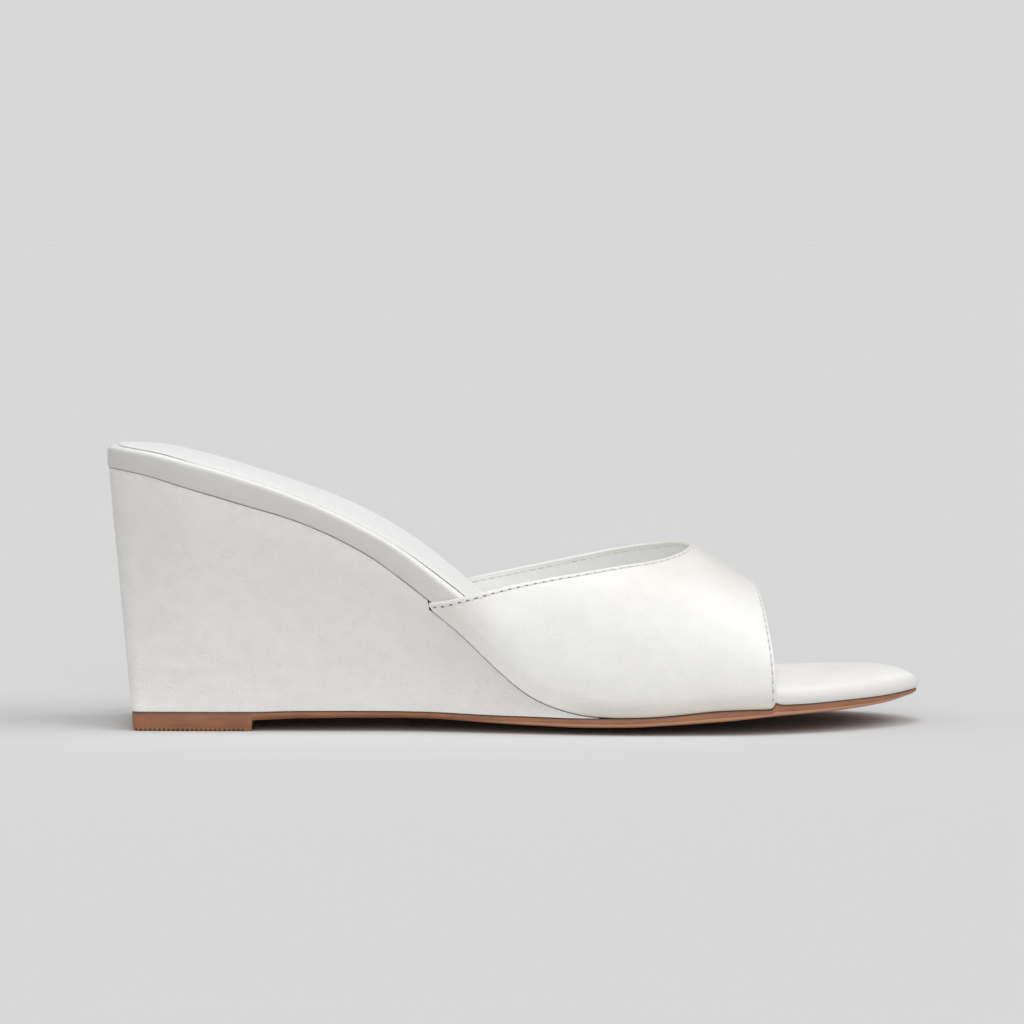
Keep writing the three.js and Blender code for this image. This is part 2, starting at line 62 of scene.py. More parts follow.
def curve(rows, column=1, soft=0.008):
    # Smooth line through a table's column. It keeps to the rows' own highs and lows.
    xs = np.array([row[0] for row in rows], float)
    ys = np.array([row[column] for row in rows], float)
    spans = np.diff(xs)
    slopes = np.diff(ys) / spans
    tangents = np.zeros(len(xs))
    for i in range(1, len(xs) - 1):
        before, after = slopes[i - 1], slopes[i]
        if before * after > 0:
            a = 2 * spans[i] + spans[i - 1]
            b = spans[i] + 2 * spans[i - 1]
            tangents[i] = (a + b) / (a / before + b / after)
    fine = np.linspace(xs[0], xs[-1], 1201)
    i = np.clip(np.searchsorted(xs, fine, side="right") - 1, 0, len(spans) - 1)
    t = (fine - xs[i]) / spans[i]
    values = (1 + 2 * t) * (1 - t) ** 2 * ys[i] + t * (1 - t) ** 2 * spans[i] * tangents[i]
    values += t * t * (3 - 2 * t) * ys[i + 1] + t * t * (t - 1) * spans[i] * tangents[i + 1]
    reach = int(3 * soft / (fine[1] - fine[0]))
    weights = np.exp(-0.5 * (np.arange(-reach, reach + 1) * (fine[1] - fine[0]) / soft) ** 2)
    wide = np.pad(values, reach, mode="reflect", reflect_type="odd")
    values = np.convolve(wide, weights / weights.sum(), mode="valid")
    return lambda x: np.interp(x, fine, values)


def shoeCurve(rows, column=1, soft=0.008):
    # The same for a table whose first column is a share of the shoe's length. It takes millimetres.
    line = curve(rows, column, soft)
    return lambda x: line(x / shoeLength)


# The last: outline seen from above, and the line along the footbed's underside

last = {
    "length": 235.5,
    "heelRound": 28.2,  # length of the rounded heel end at the footbed
    "blockRound": 5.6,  # the same at the floor
    "blockFlat": 0.8,  # straight part of its back there, as a share of its width
    "heelHeight": 74.6,
    "ballHeight": 6.7,
    "toeHeight": 10.3,
    "toeRoundStart": 174.3,
    "tipShift": 3.0,
    "seam": 0.14,
    # share of the length, half width on the outer side, half width on the inner side
    "plan": [
        (0.0, 27.64, 27.64), (0.12, 28.2, 28.2), (0.25, 27.75, 27.41), (0.36, 27.59, 26.41),
        (0.44, 30.51, 28.08), (0.52, 34.23, 30.94), (0.6, 37.59, 34.38), (0.68, 38.58, 37.13),
        (0.74, 38.05, 37.82),
    ],
    # share of the length, share of the way from the ball up to the heel
    "rise": [
        (0.0, 1.0), (0.046, 0.982), (0.1, 0.932), (0.17, 0.86), (0.24, 0.785), (0.32, 0.652),
        (0.395, 0.46), (0.435, 0.35), (0.483, 0.194), (0.507, 0.122), (0.531, 0.068),
        (0.56, 0.03), (0.59, 0.008), (0.63, 0.0),
    ],
    # share of the length, share of the way from the ball up to the toe tip
    "spring": [
        (0.62, 0.0), (0.66, 0.08), (0.7, 0.3), (0.75, 0.62), (0.79, 0.69), (0.845, 0.7),
        (0.9, 0.85), (1.0, 1.0),
    ],
    "toeDeep": 0.7,  # in front of the vamp the footbed reaches this much lower
    "toeDeepAlong": (191.2, 3.0),  # stretches are given as their start and their length
    "toeDeepFade": (222.0, 13.0), "toeDeepEnd": 0.4,  # over this one its share falls to 0.4
    "sag": 2.45,  # how far the bottom bellies down at the ball
    "sagShare": [
        (0.4, 0.0), (0.52, 0.85), (0.58, 1.0), (0.68, 1.0), (0.8, 0.5), (0.92, 0.1), (1.0, 0.0),
    ],
}
shoeLength = last["length"]
seam = last["seam"]
planOuter = shoeCurve(last["plan"], 1)
planInner = shoeCurve(last["plan"], 2)
riseCurve = shoeCurve(last["rise"], soft=0.006)
springCurve = shoeCurve(last["spring"], soft=0.012)
sagCurve = shoeCurve(last["sagShare"])


def halfWidth(x, side, roundness=last["heelRound"], flat=0.0):
    # Half width of the footbed at x. side: -1 outer, 1 inner.
    x = np.clip(x, 0, shoeLength)
    full = np.where(side < 0, planOuter(x), planInner(x))
    heel = full * mix(flat, 1, np.sqrt(1 - (1 - np.minimum(x / roundness, 1)) ** 2))
    start, tip = last["toeRoundStart"], last["tipShift"]
    reach = np.clip((x - start) / (shoeLength - start), 0, 1)
    outerToe = (full + tip) * (1 - reach**2) ** 0.66 - tip
    innerToe = tip + (full - tip) * np.sqrt(1 - reach**3)
    toe = np.where(side < 0, outerToe, innerToe)
    return np.where(x < roundness, heel, toe)


def planPoint(x, side, inset, roundness=last["heelRound"], flat=0.0):
    # Point of the footbed's outline, moved in from the edge.
    step = 0.02
    before = np.maximum(x - step, 0)
    after = np.minimum(x + step, shoeLength)
    rise = halfWidth(after, side, roundness, flat) - halfWidth(before, side, roundness, flat)
    slope = rise / (after - before)
    scale = inset / np.hypot(slope, 1)
    return x + slope * scale, side * (halfWidth(x, side, roundness, flat) - scale)


def acrossPlan(x, share, inset, roundness=last["heelRound"], flat=0.0):
    outerX, outerY = planPoint(x, -1, inset, roundness, flat)
    innerX, innerY = planPoint(x, 1, inset, roundness, flat)
    t = (share + 1) / 2
    return mix(outerX, innerX, t), mix(outerY, innerY, t)


def bedLine(x):
    # Underside of the footbed along its edge.
    ball = last["ballHeight"]
    rise = riseCurve(x) * (last["heelHeight"] - ball)
    return ball + rise + springCurve(x) * (last["toeHeight"] - ball)


def bedNormal(x):
    step = 0.5
    slope = (bedLine(x + step) - bedLine(x - step)) / (2 * step)
    length = np.hypot(slope, 1)
    return -slope / length, 1 / length


def sagAt(x, y):
    side = np.where(y < 0, -1, 1)
    share = np.minimum(np.abs(y) / np.maximum(halfWidth(x, side), 1), 1)
    return last["sag"] * sagCurve(x) * (1 - share**2)


def toeDeepening(x):
    fade = easeOver(x, last["toeDeepFade"])
    return last["toeDeep"] * easeOver(x, last["toeDeepAlong"]) * mix(1, last["toeDeepEnd"], fade)


def underBed(x, y, distance):
    return bedLine(x) - sagAt(x, y) - toeDeepening(x) - distance / bedNormal(x)[1]


# Mesh stations along the shoe, spaced like an arc at both rounded ends

stations = {"heelEnd": 0.12, "toeStart": 0.8, "step": 1.1, "heelCount": 46, "toeCount": 60}


def stationsAlong(end=shoeLength, extra=()):
    heelEnd, toeStart = stations["heelEnd"] * shoeLength, stations["toeStart"] * shoeLength
    heel = heelEnd * (1 - np.cos(np.linspace(0, math.pi / 2, stations["heelCount"])))
    middle = np.arange(heelEnd, toeStart, stations["step"])[1:]
    toe = mix(toeStart, shoeLength, np.sin(np.linspace(0, math.pi / 2, stations["toeCount"])))
    xs = np.concatenate([heel, middle, toe, extra])
    return np.unique(np.round(np.append(xs[xs < end - 0.2], end), 4))


def sharesAcross(rim, middle, count):
    # Shares of the half width from the outer to the inner side, close together at the rim.
    outer = -np.array(rim)
    return np.concatenate([outer, np.linspace(-middle, middle, count), -outer[::-1]])


def levelPiece(xs, shares, levels):
    # Solid from levels stacked from its lower to its upper face. A level gives points at (x, share).
    n, m = len(xs), len(shares)
    gridX, gridS = np.meshgrid(xs, shares, indexing="ij")
    points = [levels[0](gridX.ravel(), gridS.ravel()), levels[-1](gridX.ravel(), gridS.ravel())]
    rim = [(i, 0) for i in range(n - 1)] + [(n - 1, j) for j in range(m - 1)]
    rim += [(i, m - 1) for i in range(n - 1, 0, -1)] + [(0, j) for j in range(m - 1, 0, -1)]
    rimI, rimJ = np.array(rim).T
    rings = [rimI * m + rimJ]
    start = 2 * n * m
    for level in levels[1:-1]:
        points.append(level(xs[rimI], shares[rimJ]))
        rings.append(np.arange(start, start + len(rim)))
        start += len(rim)
    rings.append(n * m + rimI * m + rimJ)
    heights = [np.zeros(n * m), np.ones(n * m)]
    heights += [np.full(len(rim), k / (len(levels) - 1)) for k in range(1, len(levels) - 1)]
    corner = (np.arange(n - 1)[:, None] * m + np.arange(m - 1)).ravel()
    lower = np.stack([corner, corner + 1, corner + m + 1, corner + m], 1)
    faces = [lower, lower[:, ::-1] + n * m]
    for below, above in zip(rings, rings[1:]):
        faces.append(np.stack([below, np.roll(below, -1), np.roll(above, -1), above], 1))
    return np.concatenate(points), np.concatenate(faces).tolist(), np.concatenate(heights)


def edgeShare(heights):
    # 1 on the levels round a piece's upper and lower edge, 0 on its faces and the middle of its side.
    inFace = (heights <= 0) | (heights >= 1)
    return np.where(inFace, 0.0, np.clip(np.abs(2 * heights - 1) * 2.5 - 1.5, 0, 1))


def makePiece(name, points, faces, materials, looks=None, faceLook=None, sharpAngle=40):
    # Mesh in metres from points in millimetres. looks: values kept on the points for the materials.
    keys = np.round(points * 2000).astype(np.int64)
    _, first, index = np.unique(keys, axis=0, return_index=True, return_inverse=True)
    index = index.ravel()
    kept, slots = [], []
    for number, face in enumerate(faces):
        corners = [int(index[c]) for c in face]
        corners = [c for k, c in enumerate(corners) if c != corners[k - 1]]
        if len(set(corners)) == len(corners) and len(corners) > 2:
            kept.append(corners)
            slots.append(int(faceLook[number]) if faceLook is not None else 0)
    mesh = bpy.data.meshes.new(name)
    mesh.from_pydata(((points[first] + frameShift) * millimetre).tolist(), [], kept)
    for label, values in (looks or {}).items():
        mesh.attributes.new(label, "FLOAT", "POINT").data.foreach_set("value", values[first])
    for material in materials:
        mesh.materials.append(material)
    mesh.polygons.foreach_set("material_index", slots)
    work = bmesh.new()
    work.from_mesh(mesh)
    bmesh.ops.recalc_face_normals(work, faces=work.faces)
    work.to_mesh(mesh)
    work.free()
    mesh.polygons.foreach_set("use_smooth", [True] * len(kept))
    mesh.set_sharp_from_angle(angle=math.radians(sharpAngle))
    mesh.update()
    piece = bpy.data.objects.new(name, mesh)
    bpy.context.collection.objects.link(piece)
    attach(piece, "root")
    return piece


def pressCreases(piece, creases):
    # Soft troughs, laid one by one from a list. A crease gives its middle's x and z, side (-1 outer, 1
    # inner), tilt in degrees, length, width, depth and bow.
    mesh = piece.data
    count = len(mesh.vertices)
    points = np.empty(3 * count)
    normals = np.empty(3 * count)
    mesh.vertices.foreach_get("co", points)
    mesh.vertex_normals.foreach_get("vector", normals)
    points = points.reshape(-1, 3) / millimetre - frameShift
    normals = normals.reshape(-1, 3)
    depth = np.zeros(count)
    for middleX, middleZ, side, tilt, length, width, deep, bow in creases:
        tilt = math.radians(tilt)
        x, z = points[:, 0] - middleX, points[:, 2] - middleZ
        along = (x * math.cos(tilt) + z * math.sin(tilt)) / length
        across = z * math.cos(tilt) - x * math.sin(tilt) - bow * along**2
        facing = ease(normals[:, 1] * side * 2.5)
        depth += deep * facing * np.exp(-(along**2) * 4 - (across / width) ** 2)
    points -= normals * depth[:, None]
    mesh.vertices.foreach_set("co", ((points + frameShift) * millimetre).ravel())
    mesh.update()


# Shader building blocks

def addNode(tree, kind, inputs=None, **settings):
    node = tree.nodes.new(kind)
    node.location = (200 * (len(tree.nodes) % 9), -260 * (len(tree.nodes) // 9))
    for name, value in settings.items():
        setattr(node, name, value)
    for name, value in (inputs or {}).items():
        if isinstance(value, bpy.types.NodeSocket):
            tree.links.new(value, node.inputs[name])
        else:
            node.inputs[name].default_value = value
    return node


def newGroup(name, inputs, outputs):
    tree = bpy.data.node_groups.new(name, "ShaderNodeTree")
    for label, value in inputs.items():
        socket = tree.interface.new_socket(name=label, in_out="INPUT", socket_type="NodeSocketFloat")
        socket.default_value = value
    for label in outputs:
        tree.interface.new_socket(name=label, in_out="OUTPUT", socket_type="NodeSocketFloat")
    return tree, addNode(tree, "NodeGroupInput").outputs


def finishGroup(tree, results):
    addNode(tree, "NodeGroupOutput", results)
    return tree


def maths(tree, operation, a, b=0.0, clamp=False):
    return addNode(tree, "ShaderNodeMath", {0: a, 1: b}, operation=operation, use_clamp=clamp).outputs[0]


def times(tree, a, b, clamp=False):
    return maths(tree, "MULTIPLY", a, b, clamp)


def plus(tree, a, b):
    return maths(tree, "ADD", a, b)


def minus(tree, a, b):
    return maths(tree, "SUBTRACT", a, b)


def ramp(tree, value, low, high, toLow=0.0, toHigh=1.0, smooth=True):
    kind = "SMOOTHSTEP" if smooth else "LINEAR"
    inputs = {"Value": value, "From Min": low, "From Max": high, "To Min": toLow, "To Max": toHigh}
    return addNode(tree, "ShaderNodeMapRange", inputs, interpolation_type=kind).outputs["Result"]


def pointValue(tree, name):
    return addNode(tree, "ShaderNodeAttribute", attribute_name=name).outputs["Fac"]


def placeOn(tree, size, stretch=(1, 1, 1)):
    # Place on the object, counted in steps of size millimetres. size: a value or a socket.
    place = addNode(tree, "ShaderNodeTexCoord").outputs["Object"]
    shaped = addNode(tree, "ShaderNodeVectorMath", {0: place, 1: stretch}, operation="MULTIPLY")
    steps = maths(tree, "DIVIDE", 1 / millimetre, size)
    inputs = {0: shaped.outputs[0], "Scale": steps}
    return addNode(tree, "ShaderNodeVectorMath", inputs, operation="SCALE").outputs[0]


def noise(tree, place, detail=2.0, rough=0.5):
    inputs = {"Vector": place, "Scale": 1.0, "Detail": detail, "Roughness": rough}
    return addNode(tree, "ShaderNodeTexNoise", inputs).outputs["Fac"]


def makeLeatherGrain():
    # Small cells with valleys between them, as on a smooth full-grain skin.
    tree, given = newGroup("Leather Grain", {"Cell": 0.7, "Unevenness": 0.5}, ["Height", "Valley"])
    place = placeOn(tree, given["Cell"])
    bend = addNode(tree, "ShaderNodeTexNoise", {"Vector": place, "Scale": 0.6, "Detail": 1.0})
    bent = addNode(tree, "ShaderNodeVectorMath",
                   {0: bend.outputs["Color"], 1: (0.8, 0.8, 0.8), 2: place}, operation="MULTIPLY_ADD")
    cells = addNode(tree, "ShaderNodeTexVoronoi", {"Vector": bent.outputs[0], "Scale": 1.0},
                    feature="DISTANCE_TO_EDGE")
    valley = ramp(tree, cells.outputs["Distance"], 0.0, 0.28, 1.0, 0.0)
    uneven = noise(tree, placeOn(tree, times(tree, given["Cell"], 7.0)), 3.0)
    strength = ramp(tree, uneven, 0.35, 0.7, minus(tree, 1.0, given["Unevenness"]), 1.0)
    valley = times(tree, valley, strength)
    fine = noise(tree, placeOn(tree, times(tree, given["Cell"], 0.28)), 2.0)
    height = minus(tree, times(tree, fine, 0.25), valley)
    return finishGroup(tree, {"Height": height, "Valley": valley})


def makeSoftGive():
    # Wide, shallow unevenness of skin pulled over a form, and the tone that goes with it.
    tree, given = newGroup("Soft Give", {"Size": 18.0}, ["Height", "Tone"])
    wide = noise(tree, placeOn(tree, given["Size"], (1, 1, 1.6)), 2.0, 0.45)
    small = noise(tree, placeOn(tree, times(tree, given["Size"], 0.22), (1, 1, 2.2)), 2.0)
    height = plus(tree, wide, times(tree, small, 0.16))
    tone = plus(tree, times(tree, wide, 0.6), times(tree, small, 0.4))
    return finishGroup(tree, {"Height": height, "Tone": tone})


def makeBrokenEdge():
    # Broken-up mask along the edges: handled places, and on the wedge and partly on the sole a painted
    # highlight. Reads the points' own value "edge".
    tree, given = newGroup("Broken Edge", {"Break": 0.5, "Size": 3.0}, ["Mask"])
    edge = pointValue(tree, "edge")
    broken = ramp(tree, noise(tree, placeOn(tree, given["Size"]), 4.0, 0.6), 0.3, 0.72)
    kept = minus(tree, 1.0, given["Break"])
    share = plus(tree, kept, times(tree, broken, given["Break"]))
    return finishGroup(tree, {"Mask": times(tree, edge, share, True)})


def makeScuffs():
    # A few fine, short rub marks.
    tree, given = newGroup("Scuffs", {"Size": 5.0, "Amount": 0.5}, ["Mask"])
    streaks = noise(tree, placeOn(tree, given["Size"], (0.6, 0.6, 5.0)), 5.0, 0.62)
    patches = noise(tree, placeOn(tree, times(tree, given["Size"], 4.0)), 1.0)
    lines = ramp(tree, streaks, 0.6, 0.72)
    where = ramp(tree, patches, 0.5, 0.66)
    mask = times(tree, lines, where)
    return finishGroup(tree, {"Mask": times(tree, mask, given["Amount"], True)})


def makeStitchHoles():
    # Needle holes and the sunk line that a row of stitching pulls into leather, as masks that the
    # materials darken with painted shade and sink as bumps.
    # Reads the points' own values edgeDistance and edgeRun, in millimetres, and a strength for the holes,
    # 0 to 1.
    tree, given = newGroup("Stitch Holes", {"Inset": 0.8, "Pitch": 2.5, "Long": 0.56, "Wide": 0.21},
                           ["Hole", "Groove"])
    distance = pointValue(tree, "edgeDistance")
    run = pointValue(tree, "edgeRun")
    holeShare = pointValue(tree, "holeStrength")
    across = minus(tree, distance, given["Inset"])
    step = maths(tree, "FRACT", maths(tree, "DIVIDE", run, given["Pitch"]))
    along = times(tree, minus(tree, step, 0.5), given["Pitch"])
    partAlong = maths(tree, "DIVIDE", along, given["Long"])
    partAcross = maths(tree, "DIVIDE", across, given["Wide"])
    roundness = plus(tree, times(tree, partAlong, partAlong), times(tree, partAcross, partAcross))
    hole = ramp(tree, roundness, 0.35, 1.3, 1.0, 0.0)
    width = times(tree, given["Wide"], 2.6)
    groove = ramp(tree, maths(tree, "ABSOLUTE", maths(tree, "DIVIDE", across, width)), 0.0, 1.0, 1.0, 0.0)
    return finishGroup(tree, {"Hole": times(tree, hole, holeShare), "Groove": groove})


leatherGrain = makeLeatherGrain()
softGive = makeSoftGive()
brokenEdge = makeBrokenEdge()
scuffs = makeScuffs()
stitchHoles = makeStitchHoles()


def useGroup(tree, group, **values):
    node = addNode(tree, "ShaderNodeGroup", node_tree=group)
    for label, value in values.items():
        node.inputs[label].default_value = value
    return node.outputs


def mixColour(tree, share, a, b):
    # The Mix node keeps its colours in sockets 6, 7 and 2.
    ends = [end if isinstance(end, bpy.types.NodeSocket) else (*end, 1) for end in (a, b)]
    return addNode(tree, "ShaderNodeMix", {0: share, 6: ends[0], 7: ends[1]}, data_type="RGBA").outputs[2]


def newMaterial(name, shader):
    material = bpy.data.materials.new(name)
    material.use_nodes = True
    tree = material.node_tree
    principled = tree.nodes["Principled BSDF"]
    for label, value in shader.items():
        principled.inputs[label].default_value = value
    return material, tree, principled


def setInputs(tree, principled, colour, roughness, height, depth):
    # depth: how many millimetres one unit of height stands for.
    inputs = {"Height": height, "Distance": depth * millimetre, "Strength": 1.0}
    bump = addNode(tree, "ShaderNodeBump", inputs)
    tree.links.new(colour, principled.inputs["Base Color"])
    tree.links.new(roughness, principled.inputs["Roughness"])
    tree.links.new(bump.outputs["Normal"], principled.inputs["Normal"])


# Finishes

def addStitchRow(tree, colour, height, look):
    row = useGroup(tree, stitchHoles, Pitch=stitching["pitch"], Inset=stitching["inset"])
    marks = look["stitchMarks"]
    # Painted shade in the stitching's groove and needle holes, which the bumps below also sink.
    colour = mixColour(tree, times(tree, row["Groove"], marks["grooveShade"]), colour, look["valley"])
    colour = mixColour(tree, times(tree, row["Hole"], marks["holeShade"]), colour, stitching["holeShadeColour"])
    height = minus(tree, height, times(tree, row["Groove"], marks["grooveDepth"]))
    height = minus(tree, height, times(tree, row["Hole"], marks["holeDepth"]))
    return colour, height


def makeLeather(name, look):
    shader = {"Specular IOR Level": look["gloss"], "Coat Weight": look["coat"], "Coat Roughness": 0.32}
    material, tree, principled = newMaterial(name, shader)
    grain = useGroup(tree, leatherGrain, Cell=look["grain"], Unevenness=0.55)
    give = useGroup(tree, softGive, Size=look["giveSize"])
    edgeMark = useGroup(tree, brokenEdge, Break=0.6, Size=2.6)["Mask"]
    marks = useGroup(tree, scuffs, Size=4.0, Amount=look["scuffs"])["Mask"]
    colour = mixColour(tree, ramp(tree, give["Tone"], 0.3, 0.7), look["shade"], look["colour"])
    # Painted shade: the points' value tone mixes in a darker colour.
    if "paintedShadeColour" in look:
        tone = pointValue(tree, "tone")
        colour = mixColour(tree, tone, colour, look["paintedShadeColour"])
    colour = mixColour(tree, times(tree, grain["Valley"], 0.1), colour, look["valley"])
    # Colour on the edges and scuffs: wear on most pieces, a painted highlight on the wedge.
    colour = mixColour(tree, times(tree, edgeMark, look["edgeMark"]), colour, look["wearAndHighlightColour"])
    colour = mixColour(tree, marks, colour, look["wearAndHighlightColour"])
    height = times(tree, grain["Height"], look["grainDepth"])
    height = plus(tree, height, times(tree, give["Height"], look["giveDepth"]))
    height = minus(tree, height, times(tree, marks, 0.02))
    if "stitchMarks" in look:
        colour, height = addStitchRow(tree, colour, height, look)
    roughness = ramp(tree, give["Tone"], 0.25, 0.75, look["roughness"] - 0.05, look["roughness"] + 0.06)
    roughness = plus(tree, roughness, times(tree, grain["Valley"], 0.08))
    roughness = minus(tree, roughness, times(tree, edgeMark, 0.08))
    setInputs(tree, principled, colour, roughness, height, 1.0)
    return material


def makeLining(name, look):
    # Fine matt skin: short nap, tiny pores and a faint cloudiness.
    shader = {"Specular IOR Level": look["gloss"], "Sheen Weight": look["sheen"], "Sheen Roughness": 0.5}
    material, tree, principled = newMaterial(name, shader)
    grain = useGroup(tree, leatherGrain, Cell=look["grain"], Unevenness=0.8)
    give = useGroup(tree, softGive, Size=look["giveSize"])
    edgeMark = useGroup(tree, brokenEdge, Break=0.7, Size=2.0)["Mask"]
    nap = noise(tree, placeOn(tree, 0.16), 3.0, 0.6)
    colour = mixColour(tree, ramp(tree, give["Tone"], 0.3, 0.7), look["shade"], look["colour"])
    colour = mixColour(tree, times(tree, grain["Valley"], 0.12), colour, look["valley"])
    colour = mixColour(tree, times(tree, edgeMark, look["edgeShare"]), colour, look["valley"])
    height = times(tree, grain["Height"], look["grainDepth"])
    height = plus(tree, height, times(tree, nap, look["napDepth"]))
    height = plus(tree, height, times(tree, give["Height"], look["giveDepth"]))
    if "stitchMarks" in look:
        colour, height = addStitchRow(tree, colour, height, look)
    roughness = ramp(tree, nap, 0.3, 0.7, look["roughness"] - 0.05, look["roughness"] + 0.05)
    setInputs(tree, principled, colour, roughness, height, 1.0)
    return material


def makeSoleMaterial(name, look):
    # Moulded unit: darker line at the top of its edge, lighter slanted lower part, faint streaks.
    # Places up the edge are shares of the piece's own point value "height".
    shader = {"Specular IOR Level": look["gloss"], "Coat Weight": 0.08, "Coat Roughness": 0.3}
    material, tree, principled = newMaterial(name, shader)
    height = pointValue(tree, "height")
    edgeMark = useGroup(tree, brokenEdge, Break=0.6, Size=2.0)["Mask"]
    marks = useGroup(tree, scuffs, Size=3.0, Amount=0.5)["Mask"]
    grain = useGroup(tree, leatherGrain, Cell=0.45, Unevenness=0.9)
    streaks = noise(tree, placeOn(tree, 1.1, (0.12, 0.12, 3.0)), 4.0, 0.6)
    cloud = noise(tree, placeOn(tree, 9.0), 2.0)
    tone = plus(tree, times(tree, streaks, 0.6), times(tree, cloud, 0.4))
    colour = mixColour(tree, ramp(tree, tone, 0.35, 0.65), look["dark"], look["colour"])
    lower = ramp(tree, height, *look["bevelTop"], 1.0, 0.0)
    # At its foot the lighter bevel fades back to the darker brown: painted shade where the edge turns
    # under toward the floor.
    lower = times(tree, lower, ramp(tree, height, *look["bevelFoot"]))
    lower = ramp(tree, lower, 0.0, 1.0, look["upperShare"], look["bevelShare"], smooth=False)
    colour = mixColour(tree, times(tree, lower, pointValue(tree, "twoTone")), colour, look["bevelColour"])
    top = ramp(tree, height, *look["topStart"])
    colour = mixColour(tree, times(tree, top, look["topShare"]), colour, look["topLine"])
    # Lighter on its edges: wear, and a painted highlight along them.
    colour = mixColour(tree, times(tree, edgeMark, 0.35), colour, look["bevelColour"])
    colour = mixColour(tree, times(tree, marks, 0.5), colour, look["dark"])
    relief = plus(tree, times(tree, grain["Height"], 0.012),
                   times(tree, streaks, 0.05))
    roughness = ramp(tree, tone, 0.3, 0.7, look["roughness"] - 0.06, look["roughness"] + 0.08)
    setInputs(tree, principled, colour, roughness, relief, 1.0)
    return material


def makeThread(name, look):
    # Twisted sewing thread.
    material, tree, principled = newMaterial(name, {"Specular IOR Level": 0.35, "Sheen Weight": 0.25})
    twist = noise(tree, placeOn(tree, 0.18, (2.0, 2.0, 1.0)), 2.0)
    cloud = noise(tree, placeOn(tree, 1.2), 2.0)
    colour = mixColour(tree, ramp(tree, cloud, 0.35, 0.65), look["shade"], look["colour"])
    roughness = ramp(tree, twist, 0.3, 0.7, 0.5, 0.68)
    setInputs(tree, principled, colour, roughness, twist, 0.05)
    return material


stitching = {
    "pitch": 2.5,
    "inset": 0.8,
    "frontInset": 0.5,  # the same at the toe opening
    "threadLength": 1.75,
    "threadRadius": 0.17,
    "lift": 0.03,
    "dip": 0.3,  # how far its ends go down into the needle holes
    "taper": 0.35,  # share by which it is thinner there
    "flatness": 1.25,  # its width over its height
    # painted shade in the needle holes
    "holeShadeColour": (0.12, 0.115, 0.105),
    # where the holes' painted shade and depth get fainter: by how much, and over which stretch along the
    # shoe
    "fainter": [(0.45, (112.0, 45.0)), (0.05, (178.0, 8.0))],
}
# Its tone colour is painted warm shade; the darkening of the stitch marks' holes and groove is painted
# shade.
vampLeather = makeLeather("vamp_leather", {
    "colour": (0.86, 0.853, 0.832), "shade": (0.83, 0.823, 0.797), "valley": (0.69, 0.68, 0.65),
    "wearAndHighlightColour": (0.72, 0.71, 0.68), "edgeMark": 0.1, "scuffs": 0.1, "gloss": 0.38, "coat": 0.05,
    "roughness": 0.42, "grain": 0.62, "grainDepth": 0.048, "giveSize": 16.0, "giveDepth": 0.22,
    "paintedShadeColour": (0.66, 0.61, 0.54),
    "stitchMarks": {"grooveShade": 0.12, "holeShade": 0.93, "grooveDepth": 0.12, "holeDepth": 0.22},
})
# Its lighter edge colour is a painted highlight along its upper and lower edges, also taken by its
# scuffs; its darker tone colour is painted shade towards the top, under the footbed.
wedgeLeather = makeLeather("wedge_leather", {
    "colour": (0.815, 0.805, 0.78), "shade": (0.78, 0.77, 0.74), "valley": (0.66, 0.65, 0.61),
    "wearAndHighlightColour": (0.88, 0.865, 0.82), "edgeMark": 0.6, "scuffs": 0.1, "gloss": 0.36, "coat": 0.03,
    "roughness": 0.48, "grain": 0.62, "grainDepth": 0.075, "giveSize": 20.0, "giveDepth": 0.3,
    "paintedShadeColour": (0.73, 0.72, 0.695),
})
# Its tone colour is painted shade.
bedLeather = makeLeather("bed_leather", {
    "colour": (0.86, 0.852, 0.83), "shade": (0.83, 0.82, 0.795), "valley": (0.68, 0.67, 0.63),
    "wearAndHighlightColour": (0.74, 0.73, 0.70), "edgeMark": 0.12, "scuffs": 0.1, "gloss": 0.3, "coat": 0.02,
    "roughness": 0.48, "grain": 0.62, "grainDepth": 0.052, "giveSize": 14.0, "giveDepth": 0.26,
    "paintedShadeColour": (0.60, 0.592, 0.57),
})
vampLining = makeLining("vamp_lining", {
    "colour": (0.965, 0.962, 0.95), "shade": (0.94, 0.936, 0.92), "valley": (0.80, 0.79, 0.76),
    "gloss": 0.25, "sheen": 0.1, "roughness": 0.62, "grain": 0.4, "grainDepth": 0.012, "napDepth": 0.03,
    "giveSize": 14.0, "giveDepth": 0.15, "edgeShare": 0.25,
    "stitchMarks": {"grooveShade": 0.0, "holeShade": 0.3, "grooveDepth": 0.0, "holeDepth": 0.1},
})
sockLining = makeLining("sock_lining", {
    "colour": (0.815, 0.818, 0.81), "shade": (0.795, 0.798, 0.79), "valley": (0.45, 0.45, 0.44),
    "gloss": 0.2, "sheen": 0.15, "roughness": 0.72, "grain": 0.42, "grainDepth": 0.012, "napDepth": 0.03,
    "giveSize": 18.0, "giveDepth": 0.2, "edgeShare": 0.85,
})
soleMaterial = makeSoleMaterial("sole_unit", {
    "colour": (0.335, 0.138, 0.064), "dark": (0.24, 0.094, 0.042), "bevelColour": (0.68, 0.37, 0.225),
    "topLine": (0.12, 0.05, 0.028), "topStart": (0.79, 0.85), "topShare": 0.85,
    "bevelTop": (0.39, 0.51), "bevelFoot": (0.1, 0.27), "bevelShare": 0.8, "upperShare": 0.08,
    "gloss": 0.4, "roughness": 0.5,
})
threadMaterial = makeThread("sewing_thread", {"colour": (0.80, 0.79, 0.76), "shade": (0.66, 0.65, 0.62)})
print("finishes made")

# Outsole: one moulded unit with a heel block, a thin waist and a bellied forefoot

